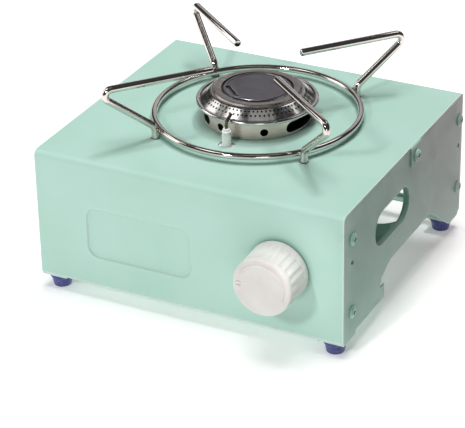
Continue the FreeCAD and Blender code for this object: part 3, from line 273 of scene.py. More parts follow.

# %% [markdown]
# The screws are painted with the body, so they get the same powder. The cross is painted darker than the
# dome, as painted shade.

# %% Painted screw heads
def painted_screws():
    """The body's paint on a screw head, with painted shade in the cross."""
    material, shader = finish_of("powder_coated_screw_heads", {"IOR": 1.5, "Roughness": 0.34})
    paint = tones(material, grain(material, 3.0), ("#B4DDCF", "#BEE6D9", "#C6EBDF"))
    # Painted shade: the cross of the head is darker green.
    link(material, shaded(material, paint, 1.2, "#3E6A5C"), shader, "Base Color")
    link(material, relief(material, grain(material, 0.8, 1.0), 0.02, 0.6), shader, "Normal")
    return material


mint_screw = painted_screws()
print("material:", mint_screw.name)

# %% [markdown]
# ## Bare metals
#
# Stainless wire is drawn through a die and then polished, which leaves a bright, slightly warm skin.
# Pressed stainless is satin. Zinc plate is cool and slightly cloudy with crystals a few millimetres wide,
# and a zinc casting is matt, with a sandy skin. A real metal differs from its neighbour by little more than
# that, so one function makes them all. It takes the tones, the gloss, the size of the clouds, and the size
# and height of the grain. Where a part has them, it also takes the reach and colour of painted shade in
# its crevices and of a painted highlight along its edges.

# %% Metals
def metal(
    name, codes, gloss, cloud_mm, grain_mm, grain_height_mm, stretch=(1, 1, 1), crevice_shade=None, edge_highlight=None
):
    """A bare metal: tone clouds, gloss variation, fine grain, and any painted edge highlight and crevice
    shade.
    """
    material, shader = finish_of(name, {"Metallic": 1.0})
    tint = tones(material, grain(material, cloud_mm), codes)
    # Painted highlight: a paler tone along edges, where one is given.
    if edge_highlight:
        reach_mm, bright = edge_highlight
        tint = blended(material, near_edges(material, reach_mm), tint, bright)
    # Painted shade: a darker tone in crevices, where one is given.
    if crevice_shade:
        tint = shaded(material, tint, *crevice_shade)
    link(material, tint, shader, "Base Color")
    link(material, spread(material, grain(material, grain_mm * 4), gloss, gloss + 0.08), shader, "Roughness")
    fine = grain(material, grain_mm, 3.0, stretch)
    link(material, relief(material, fine, grain_height_mm, 0.6), shader, "Normal")
    return material


ALONG_Y = (1, 6, 1)

wire_steel = metal("drawn_stainless_polished", ("#DAD1CB", "#E4DBD6", "#ECE5E1"), 0.06, 18.0, 0.8, 0.004)
cup_steel = metal("pressed_stainless_satin", ("#EACFC9", "#F2D8D2", "#F9E3DE"), 0.38, 12.0, 0.5, 0.003)
disc_tones = ("#827F86", "#8C8991", "#959299")
# The disc gets painted shade in its crevices and a painted highlight on its edges.
painted_crevice_shade, painted_edge_highlight = (1.5, "#242326"), (0.9, "#F4F2F6")
disc_steel = metal("pressed_stainless_darkened", disc_tones, 0.3, 16.0, 0.4, 0.006, ALONG_Y, painted_crevice_shade, painted_edge_highlight)
zinc_plate = metal("zinc_plated_sheet", ("#A9ACB0", "#B8BBBF", "#C3C5C7"), 0.33, 4.0, 0.6, 0.01)
# The zinc screws get painted shade in their recesses.
screw_tones, painted_crevice_shade = ("#B2B0A8", "#C4C2BA", "#D0CEC6"), (1.0, "#2A2926")
zinc_screw = metal("zinc_plated_screws", screw_tones, 0.24, 2.0, 0.3, 0.004, crevice_shade=painted_crevice_shade)
cast_zinc = metal("die_cast_zinc", ("#8F9296", "#9DA0A4", "#A8ABAE"), 0.46, 3.0, 0.5, 0.03)
brass = metal("machined_brass", ("#B08D4A", "#C09C55", "#CBA860"), 0.22, 5.0, 0.3, 0.004, ALONG_Y)
spring_wire = metal("spring_steel_wire", ("#6E6E70", "#7C7C7E", "#8A8A8C"), 0.28, 3.0, 0.3, 0.004)
spark_wire = metal("resistance_wire_oxidised", ("#5A5048", "#77695E", "#8C8078"), 0.34, 1.5, 0.3, 0.008)
print("materials so far:", len(bpy.data.materials))

# %% [markdown]
# The burner's cap is spun on a lathe and polished. Spinning leaves rings round the axis, which stretch a
# highlight across the rings, so the shader is anisotropic and its tangent runs round the axis. The rings
# are drawn 0.6 mm apart, coarser than real ones, so that they show. A slow wave in the sheet breaks the
# reflections into patches. The crown inside the ports gets hottest, so it is a shade greyer and more satin
# than the slope. The seam under the rim is painted darker, as painted shade.

# %% Spun stainless
RING_PITCH = 0.6
HEATED_EDGE = (27.8, 29.4)
HEATED_SATIN = 0.14
SEAM_SHADE_REACH = 1.6
WAVE_PERIOD = FULL_TURN / 20  # The Wave texture's own, at a Scale of 1.
_, _, cap_middle = place("burner_cap")


def spun_stainless():
    """Lathe rings round the cap's axis, and a crown dulled by heat."""
    material, shader = finish_of("spun_stainless_polished", {"Metallic": 1.0, "Anisotropic": 0.45})
    on_axis = {"Vector": coordinates(material), "Location": -cap_middle * MM}
    centred = add(material, "Mapping", {}, on_axis).outputs["Vector"]
    level = {0: centred, 1: (1, 1, 0)}
    flat = add(material, "VectorMath", {"operation": "MULTIPLY"}, level).outputs["Vector"]
    radius = add(material, "VectorMath", {"operation": "LENGTH"}, {0: flat}).outputs["Value"]
    heated = spread(material, radius, 1, 0, *(edge * MM for edge in HEATED_EDGE))
    clouds = tones(material, grain(material, 9.0), ("#C9C4BF", "#D6D4D2", "#E2E2E4"))
    tinted = blended(material, heated, clouds, "#B3ABA7")
    # Painted shade: the seam under the rim is darker.
    link(material, shaded(material, tinted, SEAM_SHADE_REACH, "#3B3632"), shader, "Base Color")
    satin = add(material, "Math", {"operation": "MULTIPLY"}, {0: heated, 1: HEATED_SATIN})
    polish = spread(material, grain(material, 6.0), 0.11, 0.2)
    gloss = add(material, "Math", {"operation": "ADD"}, {0: polish, 1: satin.outputs["Value"]})
    link(material, gloss.outputs["Value"], shader, "Roughness")
    lines = {"Vector": centred, "Scale": per_metre(RING_PITCH) * WAVE_PERIOD, "Distortion": 0.4}
    rings = add(material, "TexWave", {"wave_type": "RINGS", "rings_direction": "Z"}, lines)
    turned_lines = relief(material, rings.outputs["Fac"], 0.006, 0.5)
    link(material, relief(material, grain(material, 7.0), 0.06, 0.3, turned_lines), shader, "Normal")
    round_axis = add(material, "Tangent", {"direction_type": "RADIAL", "axis": "Z"}, {})
    link(material, round_axis.outputs["Tangent"], shader, "Tangent")
    return material


cap_steel = spun_stainless()
print("material:", cap_steel.name)

# %% [markdown]
# ## Plastics, rubber and ceramic
#
# The knob is moulded ABS, off-white, with a soft gloss and a very fine spark-eroded grain. The feet are
# soft PVC in dark blue that lets a little light in, so they get some subsurface scattering. Silicone and
# nylon are duller. The insulator is alumina with a clear glaze, nearly pure white and very smooth.

# %% Moulded and fired materials
GLOW_REACH = 2.0


def moulded(name, codes, gloss, ior, grain_mm, grain_height_mm, glow=0.0):
    """A moulded or fired material: clouds of tone, grain in gloss and surface, some glow inside."""
    inside = {"IOR": ior, "Subsurface Weight": glow, "Subsurface Scale": GLOW_REACH * MM}
    material, shader = finish_of(name, inside)
    link(material, tones(material, grain(material, 12.0), codes), shader, "Base Color")
    link(material, spread(material, grain(material, grain_mm * 3), gloss, gloss + 0.07), shader, "Roughness")
    link(material, relief(material, grain(material, grain_mm, 1.0), grain_height_mm, 0.5), shader, "Normal")
    return material


knob_abs = moulded("moulded_abs_off_white", ("#D0CCC8", "#D5D1CD", "#D9D6D2"), 0.28, 1.53, 0.5, 0.01, 0.08)
foot_pvc = moulded("moulded_pvc_dark_blue", ("#38417E", "#434C8A", "#4E5896"), 0.22, 1.53, 0.9, 0.02, 0.35)
alumina = moulded("glazed_alumina", ("#F0EFEC", "#F5F4F2", "#F8F8F6"), 0.12, 1.65, 2.0, 0.01, 0.1)
lead_silicone = moulded("extruded_silicone", ("#CFC9BE", "#D6D1C6", "#DCD8CE"), 0.5, 1.41, 0.6, 0.02, 0.1)
clip_nylon = moulded("moulded_nylon", ("#DAD8CF", "#E0DED6", "#E5E3DC"), 0.42, 1.53, 0.5, 0.02, 0.1)
black_acetal = moulded("moulded_acetal_black", ("#151516", "#1B1B1C", "#222223"), 0.4, 1.48, 0.5, 0.02)
seal_nitrile = moulded("moulded_nitrile_rubber", ("#111111", "#161616", "#1B1B1B"), 0.62, 1.52, 0.6, 0.03)
ferrite = moulded("sintered_ferrite", ("#1D1D1F", "#262628", "#303032"), 0.55, 1.6, 0.4, 0.05)
# Near black, for painted shade in the burner's ports and inside its stand.
hole_shade = moulded("painted_shade_inside", ("#0B0A0A", "#100F0E", "#161413"), 0.7, 1.5, 0.6, 0.03)
print("materials with the plastics:", len(bpy.data.materials))

# %% [markdown]
# ## Finishes for the CAD parts
#
# A CAD part keeps its mesh. Its object has one material slot, so dressing it is one assignment.
# The table below is by material slot of the record: parts of one material are dressed together.

# %% Dress the CAD parts
finish_by_slot = {
    "mint_steel": mint,
    "mint_screws": mint_screw,
    "galvanised_steel": zinc_plate,
    "foot_rubber": foot_pvc,
    "zinc_screws": zinc_screw,
    "polished_wire": wire_steel,
    "satin_stainless": cup_steel,
    "polished_stainless": cap_steel,
    "burner_disc_steel": disc_steel,
    "white_ceramic": alumina,
    "electrode_wire": spark_wire,
    "silicone_lead": lead_silicone,
    "clip_nylon": clip_nylon,
    "igniter_plastic": black_acetal,
    "knob_plastic": knob_abs,
    "machined_brass": brass,
    "seal_rubber": seal_nitrile,
    "cast_zinc": cast_zinc,
    "spring_steel": spring_wire,
    "ferrite_magnet": ferrite,
}
for part in frame["record"]["subparts"]:
    node = frame["nodes"][part["node"]]
    node.material_slots[0].material = finish_by_slot[part["material_slot"]]

# %% [markdown]
# ## From a bmesh to a finished piece
#
# Every new piece ends the same way. Doubles are merged, faces are turned outwards, the millimetres become
# metres, and the shading is smooth except at edges sharper than a limit. Then the piece gets its materials,
# is attached to the body it moves with, and the CAD parts that it stands for are hidden.

# %% Finish a piece
MERGE = 0.002


def in_scene(name, data):
    """A new object in the scene."""
    made = bpy.data.objects.new(name, data)
    bpy.context.scene.collection.objects.link(made)
    return made


def meshed(shape, name):
    """A new object made of a bmesh, which is used up."""
    mesh = bpy.data.meshes.new(name)
    shape.to_mesh(mesh)
    shape.free()
    return in_scene(name, mesh)


def finished(shape, name, materials, body, stands_for=(), sharp_degrees=35):
    """Makes a piece of the stove from a bmesh in millimetres."""
    bmesh.ops.remove_doubles(shape, verts=shape.verts, dist=MERGE)
    bmesh.ops.recalc_face_normals(shape, faces=shape.faces)
    bmesh.ops.transform(shape, matrix=Matrix.Scale(MM, 4), verts=shape.verts)
    piece = meshed(shape, name)
    mesh = piece.data
    mesh.shade_smooth()
    mesh.set_sharp_from_angle(angle=math.radians(sharp_degrees))
    for material in materials:
        mesh.materials.append(material)
    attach(piece, body)
    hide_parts(*stands_for)
    print(name, len(mesh.polygons), "faces,", [round(side / MM, 1) for side in piece.dimensions], "mm")
    return piece


# %% [markdown]
# ## Softening corners
#
# No real edge is perfectly sharp, and it is the small arc along an edge that catches the light. The bevel
# operator makes that arc. Its defaults in a script differ from the editor's, so one function gives it the
# settings that all the pieces share: a round profile, and the material of the faces beside it.

# %% Soften corners or edges
def softened(shape, geometry, offset, segments, affect="VERTICES"):
    """Turns corners, or edges, into arcs, and returns what the bevel made."""
    return bmesh.ops.bevel(
        shape, geom=geometry, offset=offset, affect=affect, segments=segments, profile=0.5, material=-1
    )


# %% [markdown]
# ## Turned shapes
#
# A foot, an insulator, a knob and a burner cap are all round about one axis. So each is an outline, drawn
# once on one side of the axis and spun. The outline's corners are softened first, while it is still flat,
# so the spun edge is round without any work in three dimensions.

# %% Spin an outline
def turned(corners, steps, segments=4):
    """A closed body of revolution about Z, from an outline of (radius, height, softness) corners."""
    shape = bmesh.new()
    verts = [shape.verts.new((radius, 0, height)) for radius, height, _ in corners]
    shape.faces.new(verts)
    for vert, (_, _, softness) in zip(verts, corners):
        if softness:
            softened(shape, [vert], softness, segments)
    bmesh.ops.delete(shape, geom=shape.faces[:], context="FACES_ONLY")
    along_axis = [edge for edge in shape.edges if max(abs(vert.co.x) for vert in edge.verts) < MERGE]
    bmesh.ops.delete(shape, geom=along_axis, context="EDGES")
    left = shape.verts[:] + shape.edges[:]
    bmesh.ops.spin(shape, geom=left, cent=(0, 0, 0), axis=Z, angle=FULL_TURN, steps=steps, use_merge=True)
    bmesh.ops.remove_doubles(shape, verts=shape.verts, dist=MERGE)
    bmesh.ops.recalc_face_normals(shape, faces=shape.faces)
    return shape


def columns(shape, steps, inside):
    """Faces of a turned body whose middle passes a test of (radius, height, column, normal)."""
    chosen = []
    for face in shape.faces:
        middle = face.calc_center_median()
        column = int(math.atan2(middle.y, middle.x) % FULL_TURN / FULL_TURN * steps)
        if inside(math.hypot(middle.x, middle.y), middle.z, column, face.normal):
            chosen.append(face)
    return chosen


# %% [markdown]
# ## The wire pan support
#
# The support is one ring and four arms, all of stainless wire, welded where they touch. A wire is bent in a
# machine that feeds it straight, turns it round a pin, and feeds it again. `bend_wire` does the same:
# it extrudes a circle along each straight run and spins it through each bend, so a bend has the exact
# radius of its pin. A curve with a bevel could do it too, but its corners would be as soft as its handles.

# %% A wire bender
WIRE_SIDES = 32
BEND_STEPS = 12
END_CHAMFER = 0.6


def bend_wire(shape, corners, radius):
    """Draws a round wire through (point, bend radius) corners, with softened ends."""
    points = [point for point, _ in corners]
    heading = (points[1] - points[0]).normalized()
    aim = Matrix.Translation(points[0]) @ heading.to_track_quat("Z", "Y").to_matrix().to_4x4()
    begun = bmesh.ops.create_circle(shape, cap_ends=True, radius=radius, segments=WIRE_SIDES, matrix=aim)
    rim = list({edge for vert in begun["verts"] for edge in vert.link_edges})
    first_rim = rim
    here = points[0]
    for index in range(1, len(points)):
        bend = corners[index][1]
        towards = (points[index] - points[index - 1]).normalized()
        stop = points[index]
        if bend:
            leaving = (points[index + 1] - points[index]).normalized()
            angle = towards.angle(leaving)
            stop = stop - towards * bend * math.tan(angle / 2)
        grown = bmesh.ops.extrude_edge_only(shape, edges=rim)["geom"]
        moved = {part for part in grown if isinstance(part, bmesh.types.BMVert)}
        bmesh.ops.translate(shape, verts=list(moved), vec=stop - here)
        edges = [part for part in grown if isinstance(part, bmesh.types.BMEdge)]
        rim = [edge for edge in edges if moved.issuperset(edge.verts)]
        here = stop
        if bend:
            inside = (leaving - towards * towards.dot(leaving)).normalized()
            swept = bmesh.ops.spin(
                shape,
                geom=list(moved) + rim,
                cent=stop + inside * bend,
                axis=towards.cross(inside),
                angle=angle,
                steps=BEND_STEPS,
            )["geom_last"]
            rim = [part for part in swept if isinstance(part, bmesh.types.BMEdge)]
            here = points[index] + leaving * bend * math.tan(angle / 2)
    bmesh.ops.contextual_create(shape, geom=rim)
    softened(shape, first_rim + rim, END_CHAMFER, 3, "EDGES")


# %% [markdown]
# The ring is the same wire, rolled until its ends meet. One circle, spun once round the burner's axis,
# makes it. Its sizes are read off the CAD part that it stands for.

# %% The ring
RING_STEPS = 180
ring_low, ring_high, ring_middle = place("support_ring")
_, shell_high, _ = place("top_shell")
plate_z = shell_high.z
ring_wire = (ring_high.z - ring_low.z) / 2
ring_radius = (ring_high.x - ring_low.x) / 2 - ring_wire

ring = bmesh.new()
start = Matrix.Translation(ring_middle + X * ring_radius) @ rotation(90, "X")
bmesh.ops.create_circle(ring, cap_ends=False, radius=ring_wire, segments=WIRE_SIDES, matrix=start)
cut = ring.verts[:] + ring.edges[:]
bmesh.ops.spin(ring, geom=cut, cent=ring_middle, axis=Z, angle=FULL_TURN, steps=RING_STEPS, use_merge=True)
finished(ring, "wire_ring", [wire_steel], "pan_support", ["support_ring"])

# %% [markdown]
# Each arm starts as a pin in a hole of the top, rises, leans outwards, and comes back level over the
# burner. Its four corners are enough. The arms stand a quarter turn apart, so a loop makes them all.

# %% The arms
ARM_WIRE = 2.35
FIRST_ARM = 50
WELD_OVERLAP = 0.2
PIN_CIRCLE = ring_radius + ring_wire + ARM_WIRE - WELD_OVERLAP
PIN_DEPTH = 6.0
PIN_RISE = 7.5
PIN_BEND = 6.0
SHOULDER_RADIUS = 106.5
SHOULDER_RISE = 37.7
SHOULDER_BEND = 4.0
TIP_RADIUS = 29.5


def out_from(centre, radius, degrees, height):
    """A point at a height, out from a vertical axis."""
    turn = math.radians(degrees)
    return Vector((centre.x + radius * math.cos(turn), centre.y + radius * math.sin(turn), height))


arm_angles = [FIRST_ARM + 90 * index for index in range(4)]
for number, angle in enumerate(arm_angles, start=1):
    arm = bmesh.new()
    route = [
        (PIN_CIRCLE, -PIN_DEPTH, 0),
        (PIN_CIRCLE, PIN_RISE, PIN_BEND),
        (SHOULDER_RADIUS, SHOULDER_RISE, SHOULDER_BEND),
        (TIP_RADIUS, SHOULDER_RISE, 0),
    ]
    corners = [(out_from(ring_middle, radius, angle, plate_z + rise), bend) for radius, rise, bend in route]
    bend_wire(arm, corners, ARM_WIRE)
    cad_arm = f"support_arm_{number}"
    finished(arm, f"wire_arm_{number}", [wire_steel], "pan_support", [cad_arm])

# %% [markdown]
# A weld leaves a small nugget of metal, wider than it is deep, with an uneven skin and heat colours.
# Each one starts as a subdivided ball, is stretched along the ring, and its skin is pushed in and out by
# noise. It sits in the corner between the pin and the ring, where only its fillet shows.

# %% Weld nuggets
NUGGET = Vector((1.5, 2.9, 1.9))
NUGGET_RIPPLE = 0.22
NUGGET_GRAIN = 1.7
weld_metal = metal("weld_metal_heat_tinted", ("#8A7A66", "#B3A593", "#C9C3BC"), 0.22, 1.6, 0.5, 0.03)

welds = bmesh.new()
for angle in arm_angles:
    ball = bmesh.ops.create_icosphere(welds, subdivisions=3, radius=1.0)["verts"]
    for vert in ball:
        vert.co += vert.co * NUGGET_RIPPLE * noise.noise(vert.co * NUGGET_GRAIN + X * angle)
    bmesh.ops.scale(welds, verts=ball, vec=NUGGET)
    seat = out_from(ring_middle, ring_radius + ring_wire, angle, ring_middle.z)
    bmesh.ops.transform(welds, matrix=Matrix.Translation(seat) @ rotation(angle, "Z"), verts=ball)
finished(welds, "weld_nuggets", [weld_metal], "pan_support", (), 80)

# %% [markdown]
# ## The burner's cap
#
# The cap is spun from thin stainless sheet: a rolled rim, a slope with two rows of small ports, and a
# raised crown with a seat inside it for the disc. Its outline is spun in twice as many columns as there are
# ports in a row, so each port has a face of its own: even columns for the lower row, odd ones for the upper
# row. Such a face is inset, its corners are bevelled until it is nearly round, and it is pushed in. That is
# lighter than cutting a hundred and fifty holes, and every port gets a clean lip.

# %% The cap
PORTS_PER_ROW = 75
PORT_ROWS = ((3.2, 4.7), (6.1, 7.6))
PORT_INSET = 0.08
PORT_CORNER = 0.4
PORT_DEPTH = 0.6
PORT_SOFTNESS = 2
SLOPE_FOOT = Vector((35.6, 13.6))
SLOPE_HEAD = Vector((28.8, 19.2))
CAP_SHEET = 0.8
RIM_RADIUS = 38.1
CROWN_STEP = 1.2
SEAT_RADIUS = 22.4
FACE_NEAR = 0.3

slope = (SLOPE_HEAD - SLOPE_FOOT).normalized()
row_corners = [(*(SLOPE_FOOT + slope * up), 0) for row in PORT_ROWS for up in row]
crown = SLOPE_HEAD.y + CROWN_STEP
cap_outline = [
    (34.6, 12.0, 0.2),
    (RIM_RADIUS, 11.8, 1.25),
    (RIM_RADIUS, 14.4, 1.25),
    (35.9, 14.3, 0.35),
    (*SLOPE_FOOT, 0),
    *row_corners,
    (*SLOPE_HEAD, 0.8),
    (27.6, SLOPE_HEAD.y, 0.3),
    (26.4, crown, 0.3),
    (SEAT_RADIUS, crown, 0.2),
    (SEAT_RADIUS, SLOPE_HEAD.y, 0),
    (0, SLOPE_HEAD.y, 0),
    (0, SLOPE_HEAD.y - CAP_SHEET, 0),
    (28.0, SLOPE_HEAD.y - CAP_SHEET, 0),
    (34.8, 12.9, 0),
]
cap_steps = 2 * PORTS_PER_ROW
cap = turned(cap_outline, cap_steps)
ports = []
for row, (low, high) in enumerate(PORT_ROWS):
    middle = SLOPE_FOOT + slope * (low + high) / 2
    ports += columns(
        cap,
        cap_steps,
        lambda radius, height, column, normal: column % 2 == row
        and abs(radius - middle.x) < FACE_NEAR
        and abs(height - middle.y) < FACE_NEAR
        and normal.z > 0,
    )
bmesh.ops.inset_individual(cap, faces=ports, thickness=PORT_INSET, use_even_offset=True)
port_corners = list({vert for face in ports for vert in face.verts})
softened(cap, port_corners, PORT_CORNER, PORT_SOFTNESS)
print("ports:", len(ports))

# %% [markdown]
# The bevel gave every port a rounded face with more corners than any other face of the cap, so the ports
# are easy to find again. They are pushed in along their own normals and painted near black as shade.

# %% Open the ports
HOLE_SHADE_SLOT = 1


def push_in(shape, faces, depth, material_index):
    """Pushes separate faces into a body, and gives the pits a material."""
    for face in bmesh.ops.extrude_discrete_faces(shape, faces=faces)["faces"]:
        bmesh.ops.translate(shape, verts=face.verts[:], vec=-face.normal * depth)
        for side in {face, *(linked for edge in face.edges for linked in edge.link_faces)}:
            side.material_index = material_index


port_sides = 4 * (PORT_SOFTNESS + 1)
round_faces = [face for face in cap.faces if len(face.verts) == port_sides]
# Painted shade: the pits get the near-black material, so they read as holes.
push_in(cap, round_faces, PORT_DEPTH, HOLE_SHADE_SLOT)
burner_axis = Vector((cap_middle.x, cap_middle.y, plate_z))
bmesh.ops.translate(cap, verts=cap.verts, vec=burner_axis)
finished(cap, "spun_cap", [cap_steel, hole_shade], "body", ["burner_cap"], 30)

# %% [markdown]
# ## Cutting holes
#
# The wall under the cap has long windows for air, small round holes between them, and screw holes in its
# foot. Insets won't do here, because a window spans many columns of the wall and its ends are round.
# So a Boolean drives solid cutters through the wall, as a punch would, and the result comes back as a bmesh.

# %% A punch
def carved(shape, cutters):
    """A shape with closed cutters taken out of it. Both bmeshes are used up."""
    solids = [meshed(shape, "workpiece"), meshed(cutters, "punch")]
    cut = solids[0].modifiers.new("cut", "BOOLEAN")
    cut.object = solids[1]
    cut.solver = "EXACT"
    left = bmesh.new()
    left.from_object(solids[0], bpy.context.evaluated_depsgraph_get())
    for solid in solids:
        bpy.data.meshes.remove(solid.data)
    return left


def punch(cutters, width, height, corner, depth, placed):
    """Adds a bar with rounded corners along Z, from 0 to a depth, in a place."""
    sheet = bmesh.ops.create_grid(cutters, x_segments=1, y_segments=1, size=0.5)["verts"]
    bmesh.ops.scale(cutters, verts=sheet, vec=(width, height, 1))
    rounded = softened(cutters, sheet, corner, 8)
    face = rounded["verts"][0].link_faces[0]
    grown = bmesh.ops.extrude_face_region(cutters, geom=[face], use_keep_orig=True)["geom"]
    top = [part for part in grown if isinstance(part, bmesh.types.BMVert)]
    bmesh.ops.translate(cutters, verts=top, vec=Z * depth)
    bmesh.ops.transform(cutters, matrix=placed, verts=face.verts[:] + top)


# %% [markdown]
# ## The burner's stand
#
# The stand is a shallow cup of satin stainless with its bottom open: a wall that leans out a little, and a
# flange that two screws hold to the stove. Through its windows the dark outside of the burner's bowl shows,
# and the inside of its own wall, so both are painted near black as painted shade. The corners of a window
# or a hole stop just short of meeting, which leaves a short flat between them and keeps the cutter a clean
# solid.

# %% The stand
STAND_STEPS = 144
STAND_SHEET = 0.8
STAND_FLANGE = 24.0
STAND_FOOT = 33.0
STAND_HEAD = 34.2
STAND_HEIGHT = 11.8
WINDOW_AT = (-2, -155, 102)
WINDOW_WIDTH = 34.0
WINDOW_LOW, WINDOW_HIGH = 2.0, 9.6
WINDOW_FLAT = 0.2
AIR_HOLE_AT = (-57, -106, 153)
AIR_HOLE_UP = 5.2
AIR_HOLE_RADIUS = 2.5
SCREW_CIRCLE = 28.0
SCREW_HOLE_RADIUS = 1.75
HOLE_FLAT = 0.05
WALL_LEAN = 0.1  # Outwards for each millimetre up.

stand = turned(
    [
        (STAND_FLANGE, 0, 0),
        (STAND_FOOT, 0, 1.0),
        (STAND_HEAD, STAND_HEIGHT, 0),
        (STAND_HEAD - STAND_SHEET, STAND_HEIGHT, 0),
        (STAND_FOOT - STAND_SHEET, STAND_SHEET, 0.4),
        (STAND_FLANGE, STAND_SHEET, 0),
    ],
    STAND_STEPS,
)
cutters = bmesh.new()
window_up = (WINDOW_LOW + WINDOW_HIGH) / 2
window_tall = WINDOW_HIGH - WINDOW_LOW
window = (window_up, WINDOW_WIDTH, window_tall, window_tall / 2 - WINDOW_FLAT)
air_hole = (AIR_HOLE_UP, 2 * AIR_HOLE_RADIUS, 2 * AIR_HOLE_RADIUS, AIR_HOLE_RADIUS - HOLE_FLAT)
openings = [(angle, *window) for angle in WINDOW_AT]
openings += [(angle, *air_hole) for angle in AIR_HOLE_AT]
for angle, up, width, height, corner in openings:
    placed = Matrix.Translation(Z * up) @ rotation(angle, "Z") @ rotation(90, "Y") @ rotation(90, "Z")
    punch(cutters, width, height, corner, 2 * STAND_HEAD, placed)
for side in (-1, 1):
    below = Matrix.Translation((0, side * SCREW_CIRCLE, -1))
    wide = 2 * SCREW_HOLE_RADIUS
    punch(cutters, wide, wide, SCREW_HOLE_RADIUS - HOLE_FLAT, 3.0, below)
bmesh.ops.recalc_face_normals(cutters, faces=cutters.faces)
stand = carved(stand, cutters)
half_sheet = STAND_SHEET / 2
inside = columns(
    stand,
    STAND_STEPS,
    lambda radius, height, column, normal: height > half_sheet
    and radius < STAND_FOOT - half_sheet + height * WALL_LEAN,
)
# Painted shade: the inside of the wall gets the near-black material.
for face in inside:
    face.material_index = HOLE_SHADE_SLOT
bmesh.ops.translate(stand, verts=stand.verts, vec=burner_axis)
finished(stand, "pressed_stand", [cup_steel, hole_shade], "body", ["burner_stand"], 40)

# %% [markdown]
# The bowl behind the windows keeps its CAD mesh. It is painted much darker than the rest of the stainless
# steel, as painted shade behind the windows, so it gets a finish of its own in place of the one for its slot.

# %% The bowl, painted dark as shade
bowl_steel = metal("pressed_stainless_painted_shade", ("#2B2827", "#383432", "#47423F"), 0.42, 6.0, 0.6, 0.01)
frame["nodes"]["burner_bowl"].material_slots[0].material = bowl_steel
print("material:", bowl_steel.name)

# %% [markdown]
# ## The burner's disc
#
# A darkened disc closes the cap. It is pressed with a low ring near its edge, and has a slot with a raised
# border that a tool can hold. The disc is turned, the border is a bar with its top edge softened, and the
# same punch cuts the slot through both.

# %% The disc
DISC_STEPS = 128
DISC_RADIUS = 21.8
DISC_EDGE = 0.7
DISC_CROWN = 1.4
DISC_RING = 19.5
DISC_RING_HALF = 0.4
DISC_RING_RISE = 0.45
SLOT_CIRCLE = 17.2
SLOT_AT = -134
SLOT_LENGTH, SLOT_WIDTH = 15.0, 3.0
SLOT_FLAT = 0.15
SLOT_WALL = 1.1
BORDER_EDGE = 0.25
SLOT_STAND = 0.5
SLOT_DEPTH = 0.9

disc_low, _, disc_middle = place("burner_disc")
disc_seat = Vector((disc_middle.x, disc_middle.y, disc_low.z))
ring_top = DISC_CROWN + DISC_RING_RISE
disc = turned(
    [
        (0, 0, 0),
        (DISC_RADIUS, 0, 0),
        (DISC_RADIUS, DISC_EDGE, DISC_EDGE / 2),
        (DISC_RADIUS - 2 * DISC_EDGE, DISC_CROWN, 0.3),
        (DISC_RING + 1.5 * DISC_RING_HALF, DISC_CROWN, 0.1),
        (DISC_RING + DISC_RING_HALF, ring_top, 0.1),
        (DISC_RING - DISC_RING_HALF, ring_top, 0.1),
        (DISC_RING - 2 * DISC_RING_HALF, DISC_CROWN, 0.1),
        (0, DISC_CROWN, 0),
    ],
    DISC_STEPS,
)


def slot_bar(grown, low, high):
    """A bar of the slot's shape, grown all round, between two heights."""
    bar = bmesh.new()
    placed = rotation(SLOT_AT, "Z") @ Matrix.Translation((SLOT_CIRCLE, 0, low)) @ rotation(90, "Z")
    length, width = SLOT_LENGTH + 2 * grown, SLOT_WIDTH + 2 * grown
    punch(bar, length, width, width / 2 - SLOT_FLAT, high - low, placed)
    bmesh.ops.recalc_face_normals(bar, faces=bar.faces)
    return bar


border_top = DISC_CROWN + SLOT_STAND
border = slot_bar(SLOT_WALL, DISC_CROWN - DISC_EDGE, border_top)
rim = [edge for edge in border.edges if all(vert.co.z > DISC_CROWN for vert in edge.verts)]
softened(border, rim, BORDER_EDGE, 2, "EDGES")
pressed = bpy.data.meshes.new("slot_border")
carved(border, slot_bar(0, DISC_CROWN - SLOT_DEPTH, 2 * border_top)).to_mesh(pressed)
disc = carved(disc, slot_bar(0, DISC_CROWN - SLOT_DEPTH, 2 * border_top))
disc.from_mesh(pressed)
bpy.data.meshes.remove(pressed)
bmesh.ops.translate(disc, verts=disc.verts, vec=disc_seat)
finished(disc, "pressed_disc", [disc_steel], "body", ["burner_disc"], 30)

# %% [markdown]
# ## The knob
#
# The knob is one moulding: a cup with a tapered side, shallow flutes for the fingers, a rounded front edge,
# a flat face with a raised arc that shows the flame's range, and two small ridges that point. Inside it, a
# hub takes the spindle. It is modelled lying on its back, with its axis up, and stood against the panel at
# the very end. The side has eight columns for each flute. Six of them are inset twice, a little deeper each
# time, which makes a hollow with a soft floor, and the two that are left are the land between two flutes.

# %% The knob's body
FLUTES = 24
COLUMNS_PER_FLUTE = 8
LAND_COLUMNS = 2
FLUTE_FOOT = 4.0
FLUTE_HEAD = 20.0
FLUTE_STEPS = ((0.5, 0.3), (0.6, 0.25))
SIDE_INSIDE = 18.0
KNOB_FACE = 24.0
KNOB_WALL_TOP = 21.9
KNOB_EDGE = 1.7
BORE_RADIUS = 3.06
BORE_DEPTH = 15.0
HUB_RADIUS = 5.5
ARC_INNER = 13.5
ARC_OUTER = 15.1

